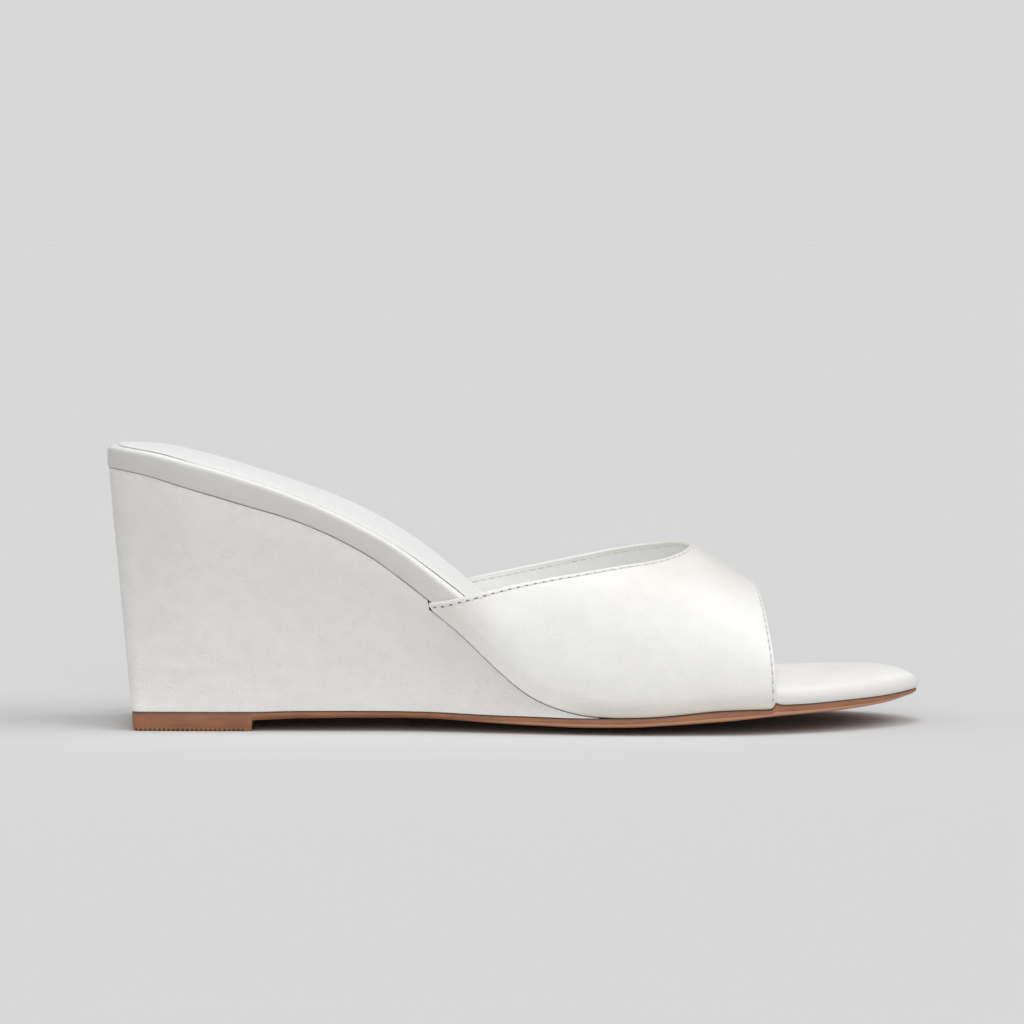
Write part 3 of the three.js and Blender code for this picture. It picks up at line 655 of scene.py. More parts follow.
outsole = {
    "bevel": 0.9, "heelBevel": 0.35, "bevelRamp": 9.0,
    "blockFront": 40.9, "blockStep": 0.5,
    "ribPitch": 1.33, "ribDepth": 0.6, "ribStart": 1.0,
    "ribsBack": 2.2, "ribsFront": 0.7,  # plain strips at both ends of the heel block
    "edgeRound": 0.16,
    "twoTone": (95.0, 30.0),  # stretch over which its edge gets two tones
    # its slanted edge: share of the bevel inwards, share of the height
    "profile": [
        (1.25, 0), (1, 0.02), (0.55, 0.16), (0.2, 0.3), (0.05, 0.37), (0, 0.42), (0, 0.6), (0, 0.8),
    ],
    # share of the length, height of the lower edge over the floor
    "lift": [
        (0.0, 3.19), (0.18, 3.19), (0.25, 3.68), (0.33, 3.83), (0.4, 3.71), (0.46, 3.08),
        (0.52, 2.61), (0.58, 2.25), (0.63, 2.3), (0.69, 2.99), (0.75, 3.91), (0.82, 5.29),
        (0.9, 6.17), (0.96, 7.22), (1.0, 8.4),
    ],
    # share of the length, thickness under the wedge
    "shank": [
        (0.0, 2.19), (0.2, 2.19), (0.26, 1.94), (0.39, 1.81), (0.47, 2.09), (0.54, 2.4), (0.6, 2.5),
    ],
    # share of the length, how far its edge stands in from the footbed's edge
    "edge": [
        (0.0, 0.36), (0.56, 0.27), (0.63, -0.54), (0.79, -0.54), (0.83, 0.27), (1.0, 0.54),
    ],
}
upperWall = 1.3
bedding = 0.4  # paste and folded lining between the footbed and the turned-in margin
coverBack, coverFront, coverRamp = 93.0, 191.2, 0.5  # stretch where the upper is turned in
ballStart = 0.64 * shoeLength
liftCurve = shoeCurve(outsole["lift"])
shankCurve = shoeCurve(outsole["shank"])
soleEdgeCurve = shoeCurve(outsole["edge"])


def stackAt(x):
    covered = ease((x - coverBack) / coverRamp) * (1 - ease((x - coverFront) / coverRamp))
    return seam + covered * (bedding + upperWall + seam)


def soleUnder(x, y):
    return np.maximum(liftCurve(x) - sagAt(x, y), 0)


def underWedge(x, y):
    return liftCurve(x) + shankCurve(x) - sagAt(x, y)


def wedgeGap(x):
    y = halfWidth(x, 1)
    return underBed(x, y, stackAt(x)) - underWedge(x, y) - seam


def soleTop(x, y):
    fromBed = underBed(x, y, stackAt(x))
    return np.where(x < ballStart, np.minimum(underWedge(x, y), fromBed), fromBed)


wedge = {
    "inset": 0.3,
    "draft": 0.033,  # taper of its sides, per millimetre of height
    "rake": 5.7,  # how much further forward its back stands at the bottom
    "rakeReach": 64.0,
    "featherEdge": 0.12,
    "edgeRound": 0.25,
    "levels": 72,
    "coverFade": 0.12,  # top share of its height that gives way to the vamp's turned-in margin
    "coverReach": 30.0,
    "creases": [
        (17.0, 20.5, -1, 3, 15, 1.5, 0.16, 0.6), (24.0, 16.4, -1, -4, 18, 1.3, 0.13, -0.5),
        (13.5, 13.6, -1, 6, 10, 1.2, 0.12, 0), (66.0, 30.0, -1, -24, 34, 6.0, 0.16, 2.0),
        (96.0, 14.0, -1, -14, 26, 4.0, 0.14, 0), (20.0, 18.0, 1, -3, 17, 1.4, 0.15, 0.6),
        (15.0, 24.5, 1, 5, 12, 1.5, 0.12, 0), (74.0, 26.0, 1, -20, 30, 5.0, 0.16, 1.5),
    ],
}


def wedgePlan(x, share, inset, isBottom):
    if not isBottom:
        return acrossPlan(x, share, inset)
    taper = wedge["draft"] * np.maximum(wedgeGap(x), 0)
    planX, planY = acrossPlan(x, share, inset + taper, last["blockRound"], last["blockFlat"])
    return planX + wedge["rake"] * (1 - ease(x / wedge["rakeReach"])), planY


def makeOutsole():
    front, step = outsole["blockFront"], outsole["blockStep"]
    turn = front + step * np.linspace(0, 1, 6)
    ribs = np.arange(outsole["ribStart"], front - 0.3, outsole["ribPitch"] / 8)
    xs = stationsAlong(extra=np.concatenate([ribs, turn]))
    shares = sharesAcross([1, 0.985, 0.94], 0.86, 25)

    def ribbing(x):
        # Grooves across the heel block's underside.
        wave = 0.5 - 0.5 * np.cos(2 * math.pi * (x - outsole["ribStart"]) / outsole["ribPitch"])
        begin = ease((x - outsole["ribsBack"]) / 0.6)
        end = ease((x - front + outsole["ribsFront"]) / 0.4)
        return outsole["ribDepth"] * wave**1.4 * begin * (1 - end)

    def level(inset, up, drop=0.0):
        def place(x, share):
            bevel = mix(outsole["heelBevel"], outsole["bevel"], ease((x - front) / outsole["bevelRamp"]))
            edge = soleEdgeCurve(x) + inset * bevel + (0 if inset else abs(drop) * 0.5)
            planX, planY = wedgePlan(x, share, edge, True)
            bottom = ease((x - front) / step) * soleUnder(x, planY)
            fade = (1 - up) ** 3
            height = mix(bottom, soleTop(x, planY), up) + fade * ribbing(planX) - drop
            return np.stack([planX, planY, height], 1)
        return place

    levels = [level(inset, up) for inset, up in outsole["profile"]]
    levels += [level(0, 1, outsole["edgeRound"]), level(0.3, 1)]
    points, faces, heights = levelPiece(xs, shares, levels)
    twoTone = easeOver(points[:, 0], outsole["twoTone"])
    looks = {"height": heights, "edge": edgeShare(heights), "twoTone": twoTone}
    piece = makePiece("moulded_outsole", points, faces, [soleMaterial], looks)
    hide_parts("outsole")
    return piece


def makeWedge():
    front, beyond = 100.0, ballStart
    for _ in range(50):
        middle = (front + beyond) / 2
        front, beyond = (middle, beyond) if wedgeGap(middle) > wedge["featherEdge"] else (front, middle)
    xs = stationsAlong(front, extra=[coverBack, coverBack + coverRamp])
    shares = sharesAcross([1, 0.96, 0.88], 0.75, 17)

    def level(up, inset=0.0, lift=0.0):
        def place(x, share):
            lowX, lowY = wedgePlan(x, share, wedge["inset"] + inset, True)
            topX, topY = wedgePlan(x, share, wedge["inset"] + inset, False)
            lowZ = underWedge(x, lowY) + seam
            topZ = underBed(x, topY, seam)
            drop = topZ - underBed(x, topY, stackAt(x))
            room = np.maximum(topZ - drop - lowZ, 0) * 0.4
            nearTop = ease((up - 1) / wedge["coverFade"] + 1)
            dropShare = mix(nearTop, up, ease((x - coverBack) / wedge["coverReach"]))
            height = mix(lowZ, topZ, up) - drop * dropShare + np.clip(lift, -room, room)
            return np.stack([mix(lowX, topX, up), mix(lowY, topY, up), height], 1)
        return place

    edgeRound = wedge["edgeRound"]
    quarter = np.linspace(0, math.pi / 2, 5)
    rounding = [(edgeRound * (1 - math.sin(a)), edgeRound * (1 - math.cos(a))) for a in quarter]
    levels = [level(0, inset, lift) for inset, lift in rounding]
    levels += [level(up) for up in np.linspace(0, 1, wedge["levels"])[1:-1]]
    levels += [level(1, inset, -lift) for inset, lift in reversed(rounding)]
    points, faces, heights = levelPiece(xs, shares, levels)
    # tone: painted shade, darker towards the top under the footbed's edge. edge: where a lighter painted
    # highlight goes along its upper and lower edges.
    looks = {"edge": edgeShare(heights), "tone": ease(heights * 1.15)}
    piece = makePiece("covered_wedge", points, faces, [wedgeLeather], looks)
    pressCreases(piece, wedge["creases"])
    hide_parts("wedge")
    return piece


# Footbed: padded board wrapped in leather, with a round upper edge

footbed = {
    "thickness": 6.6,
    "edgeRadius": 1.7, "edgeRadiusToe": 3.0, "toeAlong": (184.0, 14.0),
    "toePillow": 1.3,  # in front of the vamp its edge lies this much lower
    "toeCrown": 1.45,  # and its middle this much higher
    "toeTurn": 0.17,  # there its round edge stops this share short of level
    "underRadius": 0.45,
    "boardEdge": 2.5,  # how far under its top the side of the vamp turns into its arch
    "rollRoom": 1.1,
    "rollRoomBack": (coverBack + 2, 4.0), "rollRoomFront": (coverFront - 8, 6.0),
    # the painted shade down its side ends here, fades over this length, and over this share of the height
    "shadeEnd": 125.0, "shadeFade": 45.0, "shadeUp": (0.5, 0.3),
    # painted shade round the toe's edge: how dark, and the share of the height it fades over
    "toeShade": 0.55, "toeShadeFade": 0.35,
    "creases": [
        (17.0, 76.5, -1, 70, 6, 3.0, 0.14, 0), (43.0, 68.5, -1, -62, 6, 4.0, 0.12, 0),
        (70.0, 57.0, -1, 35, 6, 3.4, 0.14, 0), (87.0, 45.5, -1, 20, 7, 2.6, 0.16, 0),
        (26.0, 74.0, 1, 64, 6, 3.2, 0.14, 0), (60.0, 62.0, 1, 40, 6, 3.4, 0.14, 0),
        (84.0, 47.5, 1, 24, 7, 2.8, 0.16, 0),
    ],
    # share of the length, share of the thickness
    "thick": [
        (0.0, 0.93), (0.045, 1.0), (0.085, 1.06), (0.13, 1.12), (0.19, 1.08), (0.235, 0.97),
        (0.3, 0.94), (0.36, 1.02), (0.4, 1.05), (0.5, 1.0), (0.7, 0.96), (0.85, 0.775), (1.0, 0.775),
    ],
}
thickCurve = shoeCurve(footbed["thick"], soft=0.012)


def thicknessAt(x):
    return footbed["thickness"] * thickCurve(x)


def bedLevel(inset, lift, sagging=0.0, crown=None):
    # Level over the footbed's underside. lift(x): distance from it; sagging: 1 on its lower face.
    endFade = 20  # towards both ends the lift turns upright

    def place(x, share):
        normalX, normalZ = bedNormal(x)
        fade = ease(x / endFade) * ease((shoeLength - x) / endFade)
        raised = lift(x) + (crown(x, share) if crown else 0)
        fromEdge = inset(x) if callable(inset) else inset
        planX, planY = acrossPlan(x + normalX * fade * raised, share, fromEdge)
        height = bedLine(x) + normalZ * raised - sagging * (sagAt(x, planY) + toeDeepening(x))
        return np.stack([planX, planY, height], 1)
    return place


def makeFootbed():
    xs = stationsAlong()
    shares = sharesAcross([1, 0.985, 0.95, 0.9], 0.82, 27)
    under = footbed["underRadius"]

    def covered(x, room):
        # The lower part of its edge stands clear of the vamp's soft roll.
        return room * easeOver(x, footbed["rollRoomBack"]) * (1 - easeOver(x, footbed["rollRoomFront"]))

    def underLevel(angle):
        inset = under * (1 - math.sin(angle))
        return bedLevel(lambda x: inset + covered(x, footbed["rollRoom"]),
                        lambda x: under * (1 - math.cos(angle)), math.cos(angle) ** 2)

    def inToe(x):
        return easeOver(x, footbed["toeAlong"])

    def over(x):
        return mix(footbed["edgeRadius"], footbed["edgeRadiusToe"], inToe(x))

    def overLevel(angle, crown=None):
        def turn(x):
            return angle * (1 - footbed["toeTurn"] * inToe(x))

        def inset(x):
            return over(x) * (1 - np.cos(turn(x))) + covered(x, footbed["rollRoom"] * 0.35)

        def lift(x):
            edgeTop = thicknessAt(x) - footbed["toePillow"] * inToe(x)
            return edgeTop - over(x) * (1 - np.sin(turn(x)))

        return bedLevel(inset, lift, 0, crown)

    def crown(x, share):
        start = footbed["toeAlong"][0]
        toEnd = np.clip((x - start) / (shoeLength - start), 0, 1)
        middle = footbed["toePillow"] + footbed["toeCrown"]
        return middle * inToe(x) * (1 - np.abs(share) ** 3) * (1 - toEnd**8)

    quarter = np.linspace(0, math.pi / 2, 11)
    levels = [underLevel(a) for a in quarter[::2]]
    levels += [overLevel(a) for a in quarter[:-1]] + [overLevel(quarter[-1], crown)]
    points, faces, heights = levelPiece(xs, shares, levels)
    # Painted shade: darker down the side behind the vamp and round the edge of the toe
    behind = ease((footbed["shadeEnd"] - points[:, 0]) / footbed["shadeFade"])
    tone = behind * (1 - easeOver(heights, footbed["shadeUp"]))
    tone += footbed["toeShade"] * inToe(points[:, 0]) * ease((1 - heights) / footbed["toeShadeFade"])
    looks = {"edge": edgeShare(heights), "tone": tone}
    piece = makePiece("wrapped_footbed", points, faces, [bedLeather], looks)
    pressCreases(piece, footbed["creases"])
    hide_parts("footbed")
    return piece


# Sock: thin lining glued on the footbed, padded under the heel

sock = {
    "thickness": 0.22,
    "glue": 0.03,
    "rounding": 0.14,
    "swell": 0.44,  # it gets this much thicker within its edge
    "inset": 3.2,
    "front": 176.0,
    "heelPad": 1.1,
    "archPad": 1.8,  # soft support under the inner arch
    # share of the length, share of the pad
    "pad": [
        (0.0, 0.0), (0.04, 0.15), (0.08, 0.6), (0.14, 1.0), (0.2, 0.8), (0.28, 0.35), (0.7, 0.2),
        (0.75, 0.0),
    ],
    # share of the length, share of the support
    "arch": [
        (0.0, 0.0), (0.17, 0.0), (0.235, 0.45), (0.3, 1.0), (0.365, 1.0), (0.42, 0.5), (0.5, 0.0),
        (0.75, 0.0),
    ],
}
padCurve = shoeCurve(sock["pad"], soft=0.015)
archCurve = shoeCurve(sock["arch"], soft=0.015)


def makeSock():
    xs = stationsAlong(sock["front"])
    shares = sharesAcross([1, 0.985, 0.95], 0.9, 29)
    rounding, inset = sock["rounding"], sock["inset"]

    def base(x):
        return thicknessAt(x) + sock["glue"]

    def crown(x, share):
        pad = sock["heelPad"] * padCurve(x) * (1 - share**2)
        arch = sock["archPad"] * archCurve(x) * (1 + share) / 2 * (1 - share**10)
        return pad + arch + sock["swell"] * (1 - share**8)

    levels = [bedLevel(inset, base)]
    for a in np.linspace(0, math.pi / 2, 5)[:-1]:
        rise = sock["thickness"] - rounding * (1 - math.sin(a))
        levels.append(bedLevel(inset + rounding * (1 - math.cos(a)), lambda x, rise=rise: base(x) + rise))
    levels.append(bedLevel(inset + rounding, lambda x: base(x) + sock["thickness"], 0, crown))
    points, faces, heights = levelPiece(xs, shares, levels)
    piece = makePiece("sock_lining", points, faces, [sockLining], {"edge": edgeShare(heights)})
    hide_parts("sock")
    return piece


# Vamp: one shell of leather and lining, turned in under the footbed

vamp = {
    "wall": upperWall,
    "margin": 9.0,
    "turnRadius": 0.9,
    "rollHeight": 6.5,  # soft roll over the seam with the wedge
    "rollDepth": 1.2, "rollDepthFront": 0.5, "rollFront": 165.0, "rollFade": 22.0,
    "throatBack": 93.8, "throatFront": 168.6, "throatCornerDrop": 0.3,
    "instepHeight": 52.0,
    "turnLead": 0.9, "marginLead": 2.5,  # the rear corner is cut forward where it is turned in
    "openingReach": 192.2, "openingSweep": 3.6, "openingTuck": 1.6, "openingHeight": 40.0,
    "ridgeShift": 6.0,
    "archPower": 2.3,
    "rows": 96,
    "steps": {"margin": 5, "turn": 9, "side": 9, "arch": 58},
    "foldSteps": 7,
    # painted shade: how dark, and the stretches upwards and along that it fades over
    "soleShadeUp": (-1.8, 6.0), "soleShadeAlong": (128.0, 15.0),
    "rearShade": 0.4, "rearShadeAlong": (98.0, 16.0),
    "instepShade": 0.28, "instepShadeUp": (34.0, 12.0), "instepShadeAlong": (140.0, 20.0),
    "wornEdge": 1.2,  # how far from a stitched edge the skin is handled
    "trimRows": 9,
    "creases": [
        (128.0, 30.0, -1, -28, 26, 5.0, 0.22, 2.0), (146.0, 22.0, -1, -12, 22, 4.0, 0.18, -1.5),
        (166.0, 34.0, -1, 32, 20, 5.0, 0.18, 0), (181.0, 22.0, -1, 74, 18, 3.0, 0.16, 1.0),
        (118.0, 22.5, -1, -40, 16, 2.4, -0.14, 0), (134.0, 28.0, 1, -24, 24, 5.0, 0.22, 2.0),
        (158.0, 30.0, 1, 20, 22, 4.4, 0.18, 0), (180.0, 24.0, 1, 70, 18, 3.0, 0.16, -1.0),
    ],
    # share of the length, ridge height from the toe opening to the throat, share of the ridge's shift
    "ridge": [
        (0.38, 1.3, 1.0), (0.46, 1.42, 1.0), (0.53, 1.46, 1.0), (0.59, 1.43, 1.0), (0.64, 1.36, 1.0),
        (0.68, 1.21, 1.0), (0.716, 1.0, 0.95), (0.755, 0.566, 0.8), (0.8, 0.0, 0.55), (0.83, -0.38, 0.5),
    ],
    # share of the topline's run, height on the outer side, height on the inner side
    "topline": [
        (0.0, 0.0, 0.0), (0.126, 0.135, 0.19), (0.266, 0.312, 0.35), (0.417, 0.462, 0.515),
        (0.571, 0.589, 0.68), (0.725, 0.711, 0.84), (0.88, 0.815, 0.96), (0.94, 0.89, 1.0),
        (0.977, 0.945, 1.01), (1.0, 1.0, 1.0),
    ],
}
ridgeHeightCurve = shoeCurve(vamp["ridge"], 1)
ridgeShiftCurve = shoeCurve(vamp["ridge"], 2)
toplineOuter = curve(vamp["topline"], 1, soft=0.012)
toplineInner = curve(vamp["topline"], 2, soft=0.012)
marginPart, turnPart, sidePart, archPart = range(4)


def ridgeHeight(x):
    return mix(vamp["openingHeight"], vamp["instepHeight"], ridgeHeightCurve(x))


def vampPoint(x, side, part, t):
    # Outside of the shell at x, in the part of the section that the column belongs to.
    wall, radius, power = vamp["wall"], vamp["turnRadius"], vamp["archPower"]
    under = seam + bedding + wall
    edge = halfWidth(x, side)
    outside = edge + seam + wall
    angle = t * math.pi / 2
    marginY = mix(edge - vamp["margin"], outside - radius, t)
    marginZ = underBed(x, side * marginY, under)
    turnY = outside - radius * (1 - np.sin(angle))
    turnZ = underBed(x, side * np.minimum(turnY, edge), under) + radius * (1 - np.cos(angle))
    turnTop = underBed(x, side * edge, under) + radius
    sideTop = bedLine(x) + (thicknessAt(x) - footbed["boardEdge"]) / bedNormal(x)[1]
    ridge = vamp["ridgeShift"] * ridgeShiftCurve(x)
    archY = side * ridge + (outside - side * ridge) * np.maximum(np.cos(angle), 0) ** (2 / power)
    archZ = mix(sideTop, ridgeHeight(x), np.sin(angle) ** (2 / power))
    lower = [part == marginPart, part == turnPart, part == sidePart]
    y = np.select(lower, [marginY, turnY, outside], archY)
    z = np.select(lower, [marginZ, turnZ, mix(turnTop, sideTop, t)], archZ)
    rollEnd = ease((x - vamp["rollFront"]) / vamp["rollFade"] + 1)
    depth = mix(vamp["rollDepth"], vamp["rollDepthFront"], rollEnd)
    overSeam = (z - underBed(x, side * edge, under)) / vamp["rollHeight"]
    return np.stack([x, side * (y - depth * (1 - ease(overSeam))), z], -1)


def toplineHeight(x, side):
    along = (x - vamp["throatBack"]) / (vamp["throatFront"] - vamp["throatBack"])
    corner = bedLine(vamp["throatBack"]) - vamp["throatCornerDrop"]
    share = np.where(side < 0, toplineOuter(along), toplineInner(along))
    return mix(corner, ridgeHeight(vamp["throatFront"]), share)


def vampColumns():
    steps = vamp["steps"]
    half = [(marginPart, t) for t in np.linspace(0, 1, steps["margin"])]
    half += [(turnPart, t) for t in np.linspace(0, 1, steps["turn"] + 1)[1:]]
    half += [(sidePart, t) for t in np.linspace(0, 1, steps["side"] + 1)[1:]]
    half += [(archPart, t) for t in np.linspace(0, 1, steps["arch"] + 1)[1:-1]]
    columns = [(-1, *c) for c in half] + [(1, archPart, 1.0)] + [(1, *c) for c in reversed(half)]
    side, part, t = np.array(columns, float).T
    return side, part.astype(int), t


def unit(vectors):
    return vectors / np.maximum(np.linalg.norm(vectors, axis=-1, keepdims=True), 1e-9)


def vampGrid():
    # Outside points by row and column, from the topline to the toe opening.
    side, part, t = vampColumns()
    isMargin = part == marginPart
    startPart = np.where(isMargin, turnPart, part)
    startT = np.where(isMargin, 0.0, t)
    low = np.full(len(side), vamp["throatBack"] - 2)
    high = np.full(len(side), vamp["throatFront"])
    for _ in range(50):
        middle = (low + high) / 2
        above = vampPoint(middle, side, startPart, startT)[:, 2] > toplineHeight(middle, side)
        low, high = np.where(above, middle, low), np.where(above, high, middle)
    turned = [isMargin, part == turnPart, part == sidePart]
    turnLead = vamp["turnLead"]
    lead = [turnLead + vamp["marginLead"] * (1 - t), turnLead * (1 - t), 0 * t]
    rear = np.maximum(low, vamp["throatBack"] - 0.4) + np.select(turned, lead, 0.0)
    heightShare = np.where(part == archPart, np.sin(t * math.pi / 2) ** (2 / vamp["archPower"]), 0)
    # The front edge is tucked back: fully on the margin, 0.6 where the side starts, 0 at its top.
    tuck = np.select(turned, [1.0, 1 - 0.4 * t, 0.6 * (1 - t) ** 2], 0.0)
    front = vamp["openingReach"] - vamp["openingSweep"] * heightShare**2 - vamp["openingTuck"] * tuck**2
    shares = np.linspace(0, 1, vamp["rows"] + 1)[:, None]
    xs = mix(rear[None, :], front[None, :], shares)
    return vampPoint(xs, np.broadcast_to(side, xs.shape), np.broadcast_to(part, xs.shape),
                     np.broadcast_to(t, xs.shape))


def gridNormals(grid):
    along = unit(np.gradient(grid, axis=0))
    around = unit(np.gradient(grid, axis=1))
    return unit(np.cross(along, around))


def awayFromShell(edge, inner, normals):
    # Direction in the surface, square to the edge and pointing off the shell.
    away = unit(np.cross(normals, unit(np.gradient(edge, axis=0))))
    return away * np.sign(np.sum(away * (edge - inner), axis=1, keepdims=True))


def foldedEdge(edge, normals, away):
    # Half round from the outside over the edge to the inside, as rows of points.
    radius = vamp["wall"] / 2
    angles = np.linspace(0, math.pi, vamp["foldSteps"] + 2)[1:-1]
    return [edge - normals * radius * (1 - math.cos(a)) + away * radius * math.sin(a) for a in angles]


def makeVamp():
    outside = vampGrid()
    normals = gridNormals(outside)
    rearAway = awayFromShell(outside[0], outside[2], normals[0])
    frontAway = awayFromShell(outside[-1], outside[-3], normals[-1])
    trim = (1 - ease(np.arange(len(outside)) / vamp["trimRows"]))[:, None, None] * vamp["wall"] / 2
    outside = outside - rearAway * trim - frontAway * trim[::-1]
    normals = gridNormals(outside)
    inside = outside - normals * vamp["wall"]
    rearFold = foldedEdge(outside[0], normals[0], rearAway)
    frontFold = foldedEdge(outside[-1], normals[-1], frontAway)
    loop = [*inside[::-1], *rearFold[::-1], *outside, *frontFold]
    rows, width = len(loop), outside.shape[1]
    points = np.concatenate(loop)
    index = np.arange(rows * width).reshape(rows, width)
    after = np.roll(index, -1, axis=0)
    faces = np.stack([index[:, :-1], index[:, 1:], after[:, 1:], after[:, :-1]], -1)
    faces = faces.reshape(-1, 4).tolist()
    isLining = np.repeat(np.arange(rows) < len(inside) - 1, width - 1).astype(int).tolist()
    deep = len(inside)
    folds = vamp["foldSteps"]
    for column in (0, width - 1):
        ring = index[:, column]
        for i in range(deep - 1):
            a, b = ring[deep - 1 - i], ring[deep - 2 - i]
            c, d = ring[deep + folds + i], ring[deep + folds + i + 1]
            faces.append([int(a), int(b), int(d), int(c)])
            isLining.append(0)
        faces.append([int(k) for k in ring[deep - 1:deep + folds + 1]])
        faces.append([int(k) for k in [*ring[2 * deep + folds - 1:], ring[0]]])
        isLining += [0, 0]
    distance, run = edgeValues(outside)
    fold = np.zeros((folds, width))
    distance = [*distance[::-1], *fold, *distance, *fold]
    run = [*run[::-1], *fold, *run, *fold]
    # Painted shade, in a warm grey: darker where the skin turns in over the sole, behind the rear corner
    # and over the instep
    x, z = points[:, 0], points[:, 2]
    tone = 1 - easeOver(z - bedLine(x), vamp["soleShadeUp"])
    tone *= easeOver(x, vamp["soleShadeAlong"])
    tone += vamp["rearShade"] * (1 - easeOver(x, vamp["rearShadeAlong"]))
    instep = easeOver(z, vamp["instepShadeUp"]) * easeOver(x, vamp["instepShadeAlong"])
    tone += vamp["instepShade"] * instep
    # How strongly the needle holes show, their painted shade and their depth: fainter towards the toe
    holeShare = np.ones(len(x))
    for share, stretch in stitching["fainter"]:
        holeShare -= share * easeOver(x, stretch)
    distance, run = np.concatenate(distance), np.concatenate(run)
    looks = {"tone": np.clip(tone, 0, 1), "edge": np.clip(1 - distance / vamp["wornEdge"], 0, 1),
             "edgeDistance": distance, "edgeRun": run, "holeStrength": holeShare}
    piece = makePiece("vamp_shell", points, faces, [vampLeather, vampLining], looks, isLining, 50)
    pressCreases(piece, vamp["creases"])
    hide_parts("upper")
    rows = []
    for row, away, inset in ((0, rearAway, stitching["inset"]), (-1, frontAway, stitching["frontInset"])):
        rows.append((outside[row], normals[row], away, inset))
        rows.append((inside[row], -normals[row], away, inset))
    return piece, rows


def overFootbed():
    # Columns of the shell that aren't turned in under the footbed.
    _, part, _ = vampColumns()
    return (part == sidePart) | (part == archPart)


def runAlong(path):
    return np.concatenate([[0], np.cumsum(np.linalg.norm(np.diff(path, axis=0), axis=1))])


def edgeValues(grid):
    # Distance to the nearer stitched edge, and the run along that edge, for each point of the shell.
    free = overFootbed()
    best = np.full(grid.shape[:2], 99.0)
    bestRun = np.zeros(grid.shape[:2])
    closeness = stitching["inset"] - stitching["frontInset"]
    for edge, shift in ((grid[0][free], 0), (grid[-1][free], closeness)):
        run = runAlong(edge)
        steps = np.linspace(0, run[-1], 900)
        line = readAlong(run, edge, steps)
        for i, row in enumerate(grid):
            gaps = np.linalg.norm(row[:, None, :] - line[None, :, :], axis=2)
            nearest = gaps.argmin(axis=1)
            gap = gaps[np.arange(len(row)), nearest] + shift
            closer = (gap < best[i]) & free
            best[i] = np.where(closer, gap, best[i])
            bestRun[i] = np.where(closer, steps[nearest], bestRun[i])
    return best, bestRun


def readAlong(run, values, at):
    return np.stack([np.interp(at, run, values[:, k]) for k in range(3)], -1)


def makeStitches(rows):
    # Each stitch is a short thread that dips into its needle holes at both ends.
    free = overFootbed()
    pitch, length, radius = stitching["pitch"], stitching["threadLength"], stitching["threadRadius"]
    spots = np.linspace(-0.5, 0.5, 9)
    turns = np.linspace(0, 2 * math.pi, 9)[:-1]
    points, faces = [], []
    for edge, normals, away, inset in rows:
        edge, normals, away = edge[free], normals[free], away[free]
        run = runAlong(edge)
        centres = np.arange(2 * pitch, run[-1] - pitch / 2, pitch)
        at = centres[:, None] + spots[None, :] * length
        middle, up = readAlong(run, edge - away * inset, at), unit(readAlong(run, normals, at))
        along = unit(np.gradient(middle, axis=1))
        side = unit(np.cross(along, up))
        lift = stitching["lift"] * (1 - (2 * spots) ** 2) - stitching["dip"] * (2 * spots) ** 6
        thick = radius * (1 - stitching["taper"] * (2 * spots) ** 4)
        wide = stitching["flatness"] * thick
        middle = middle + up * lift[None, :, None]
        ring = (middle[:, :, None] + up[:, :, None] * (thick[:, None] * np.cos(turns))[None, :, :, None]
                + side[:, :, None] * (wide[:, None] * np.sin(turns))[None, :, :, None])
        start = sum(len(p) for p in points)
        count, steps, around = ring.shape[:3]
        index = start + np.arange(count * steps * around).reshape(count, steps, around)
        after = np.roll(index, -1, axis=2)
        quads = np.stack([index[:, :-1], after[:, :-1], after[:, 1:], index[:, 1:]], -1)
        faces += quads.reshape(-1, 4).tolist() + index[:, 0].tolist() + index[:, -1].tolist()
        points.append(ring.reshape(-1, 3))
    piece = makePiece("vamp_stitching", np.concatenate(points), faces, [threadMaterial], sharpAngle=80)
    return piece


makeOutsole()
makeWedge()
makeFootbed()
makeSock()
vampShell, stitchRows = makeVamp()
makeStitches(stitchRows)
print("pieces made")

# Floor, light and camera

studio = {
    "floorSize": 40.0,  # metres
    "floorColour": (0.635, 0.635, 0.6375),
    "backdrop": (0.6795, 0.6795, 0.6867),
    "sky": 0.24,
    # where each lamp stands, in degrees: round from the outer side towards the toe, and over the floor
    "lamps": {
        "key": {"azimuth": 75, "elevation": 45, "strength": 0.455, "spread": 55},
        "front": {"azimuth": 0, "elevation": 18, "strength": 0.295, "spread": 45},
        "top": {"azimuth": 0, "elevation": 85, "strength": 0.36, "spread": 34},
        "back": {"azimuth": -88, "elevation": 15, "strength": 0.235, "spread": 60},
    },
    "cameraPlace": (-0.0006, -1.4496, 0.15),
    "cameraPitch": 3.504,  # degrees down
    "lens": 176.03,
}


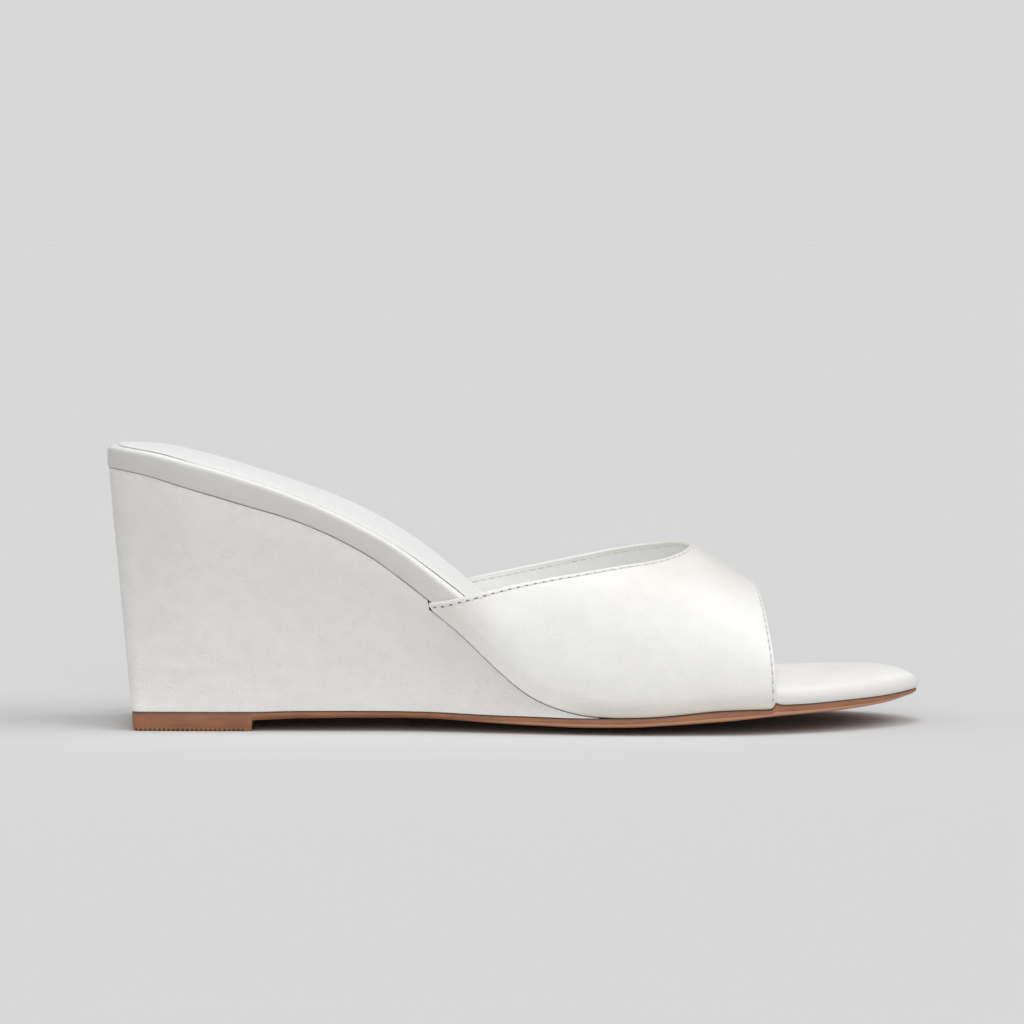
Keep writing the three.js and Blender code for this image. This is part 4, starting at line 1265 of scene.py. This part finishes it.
def makeFloor():
    half = studio["floorSize"] / 2
    mesh = bpy.data.meshes.new("floor")
    corners = [(-half, -half, 0), (half, -half, 0), (half, half, 0), (-half, half, 0)]
    mesh.from_pydata(corners, [], [(0, 1, 2, 3)])
    material, tree, principled = newMaterial("pale_floor", {"Specular IOR Level": 0.0})
    cloud = noise(tree, placeOn(tree, 60.0), 2.0)
    low = [value * 0.997 for value in studio["floorColour"]]
    colour = mixColour(tree, cloud, low, studio["floorColour"])
    setInputs(tree, principled, colour, ramp(tree, cloud, 0.3, 0.7, 0.9, 1.0), cloud, 0.01)
    mesh.materials.append(material)
    floor = bpy.data.objects.new("floor", mesh)
    bpy.context.collection.objects.link(floor)


def makeLight():
    # Even studio light. The backdrop seen by the camera has the floor's own tone.
    world = bpy.data.worlds.new("studio")
    bpy.context.scene.world = world
    world.use_nodes = True
    tree = world.node_tree
    light = tree.nodes["Background"]
    light.inputs["Color"].default_value = (1, 1, 1, 1)
    light.inputs["Strength"].default_value = studio["sky"]
    seen = addNode(tree, "ShaderNodeBackground", {"Color": (*studio["backdrop"], 1), "Strength": 1.0})
    isCamera = addNode(tree, "ShaderNodeLightPath").outputs["Is Camera Ray"]
    both = addNode(tree, "ShaderNodeMixShader", {0: isCamera, 1: light.outputs[0], 2: seen.outputs[0]})
    tree.links.new(both.outputs[0], tree.nodes["World Output"].inputs["Surface"])
    for name, lamp in studio["lamps"].items():
        data = bpy.data.lights.new(name, "SUN")
        data.energy = lamp["strength"] * math.pi
        data.angle = math.radians(lamp["spread"])
        azimuth, elevation = math.radians(lamp["azimuth"]), math.radians(lamp["elevation"])
        flat = math.cos(elevation)
        source = Vector((math.sin(azimuth) * flat, -math.cos(azimuth) * flat, math.sin(elevation)))
        sun = bpy.data.objects.new(name, data)
        sun.rotation_mode = "QUATERNION"
        sun.rotation_quaternion = (-source).to_track_quat("-Z", "Y")
        bpy.context.collection.objects.link(sun)


def makeCamera():
    data = bpy.data.cameras.new("camera")
    data.sensor_width = 36
    data.lens = studio["lens"]
    camera = bpy.data.objects.new("camera", data)
    camera.location = studio["cameraPlace"]
    camera.rotation_euler = (math.radians(90 - studio["cameraPitch"]), 0, 0)
    bpy.context.collection.objects.link(camera)
    bpy.context.scene.camera = camera


makeFloor()
makeLight()
makeCamera()
bpy.context.scene.view_settings.view_transform = "Standard"
print("floor, light and camera made")
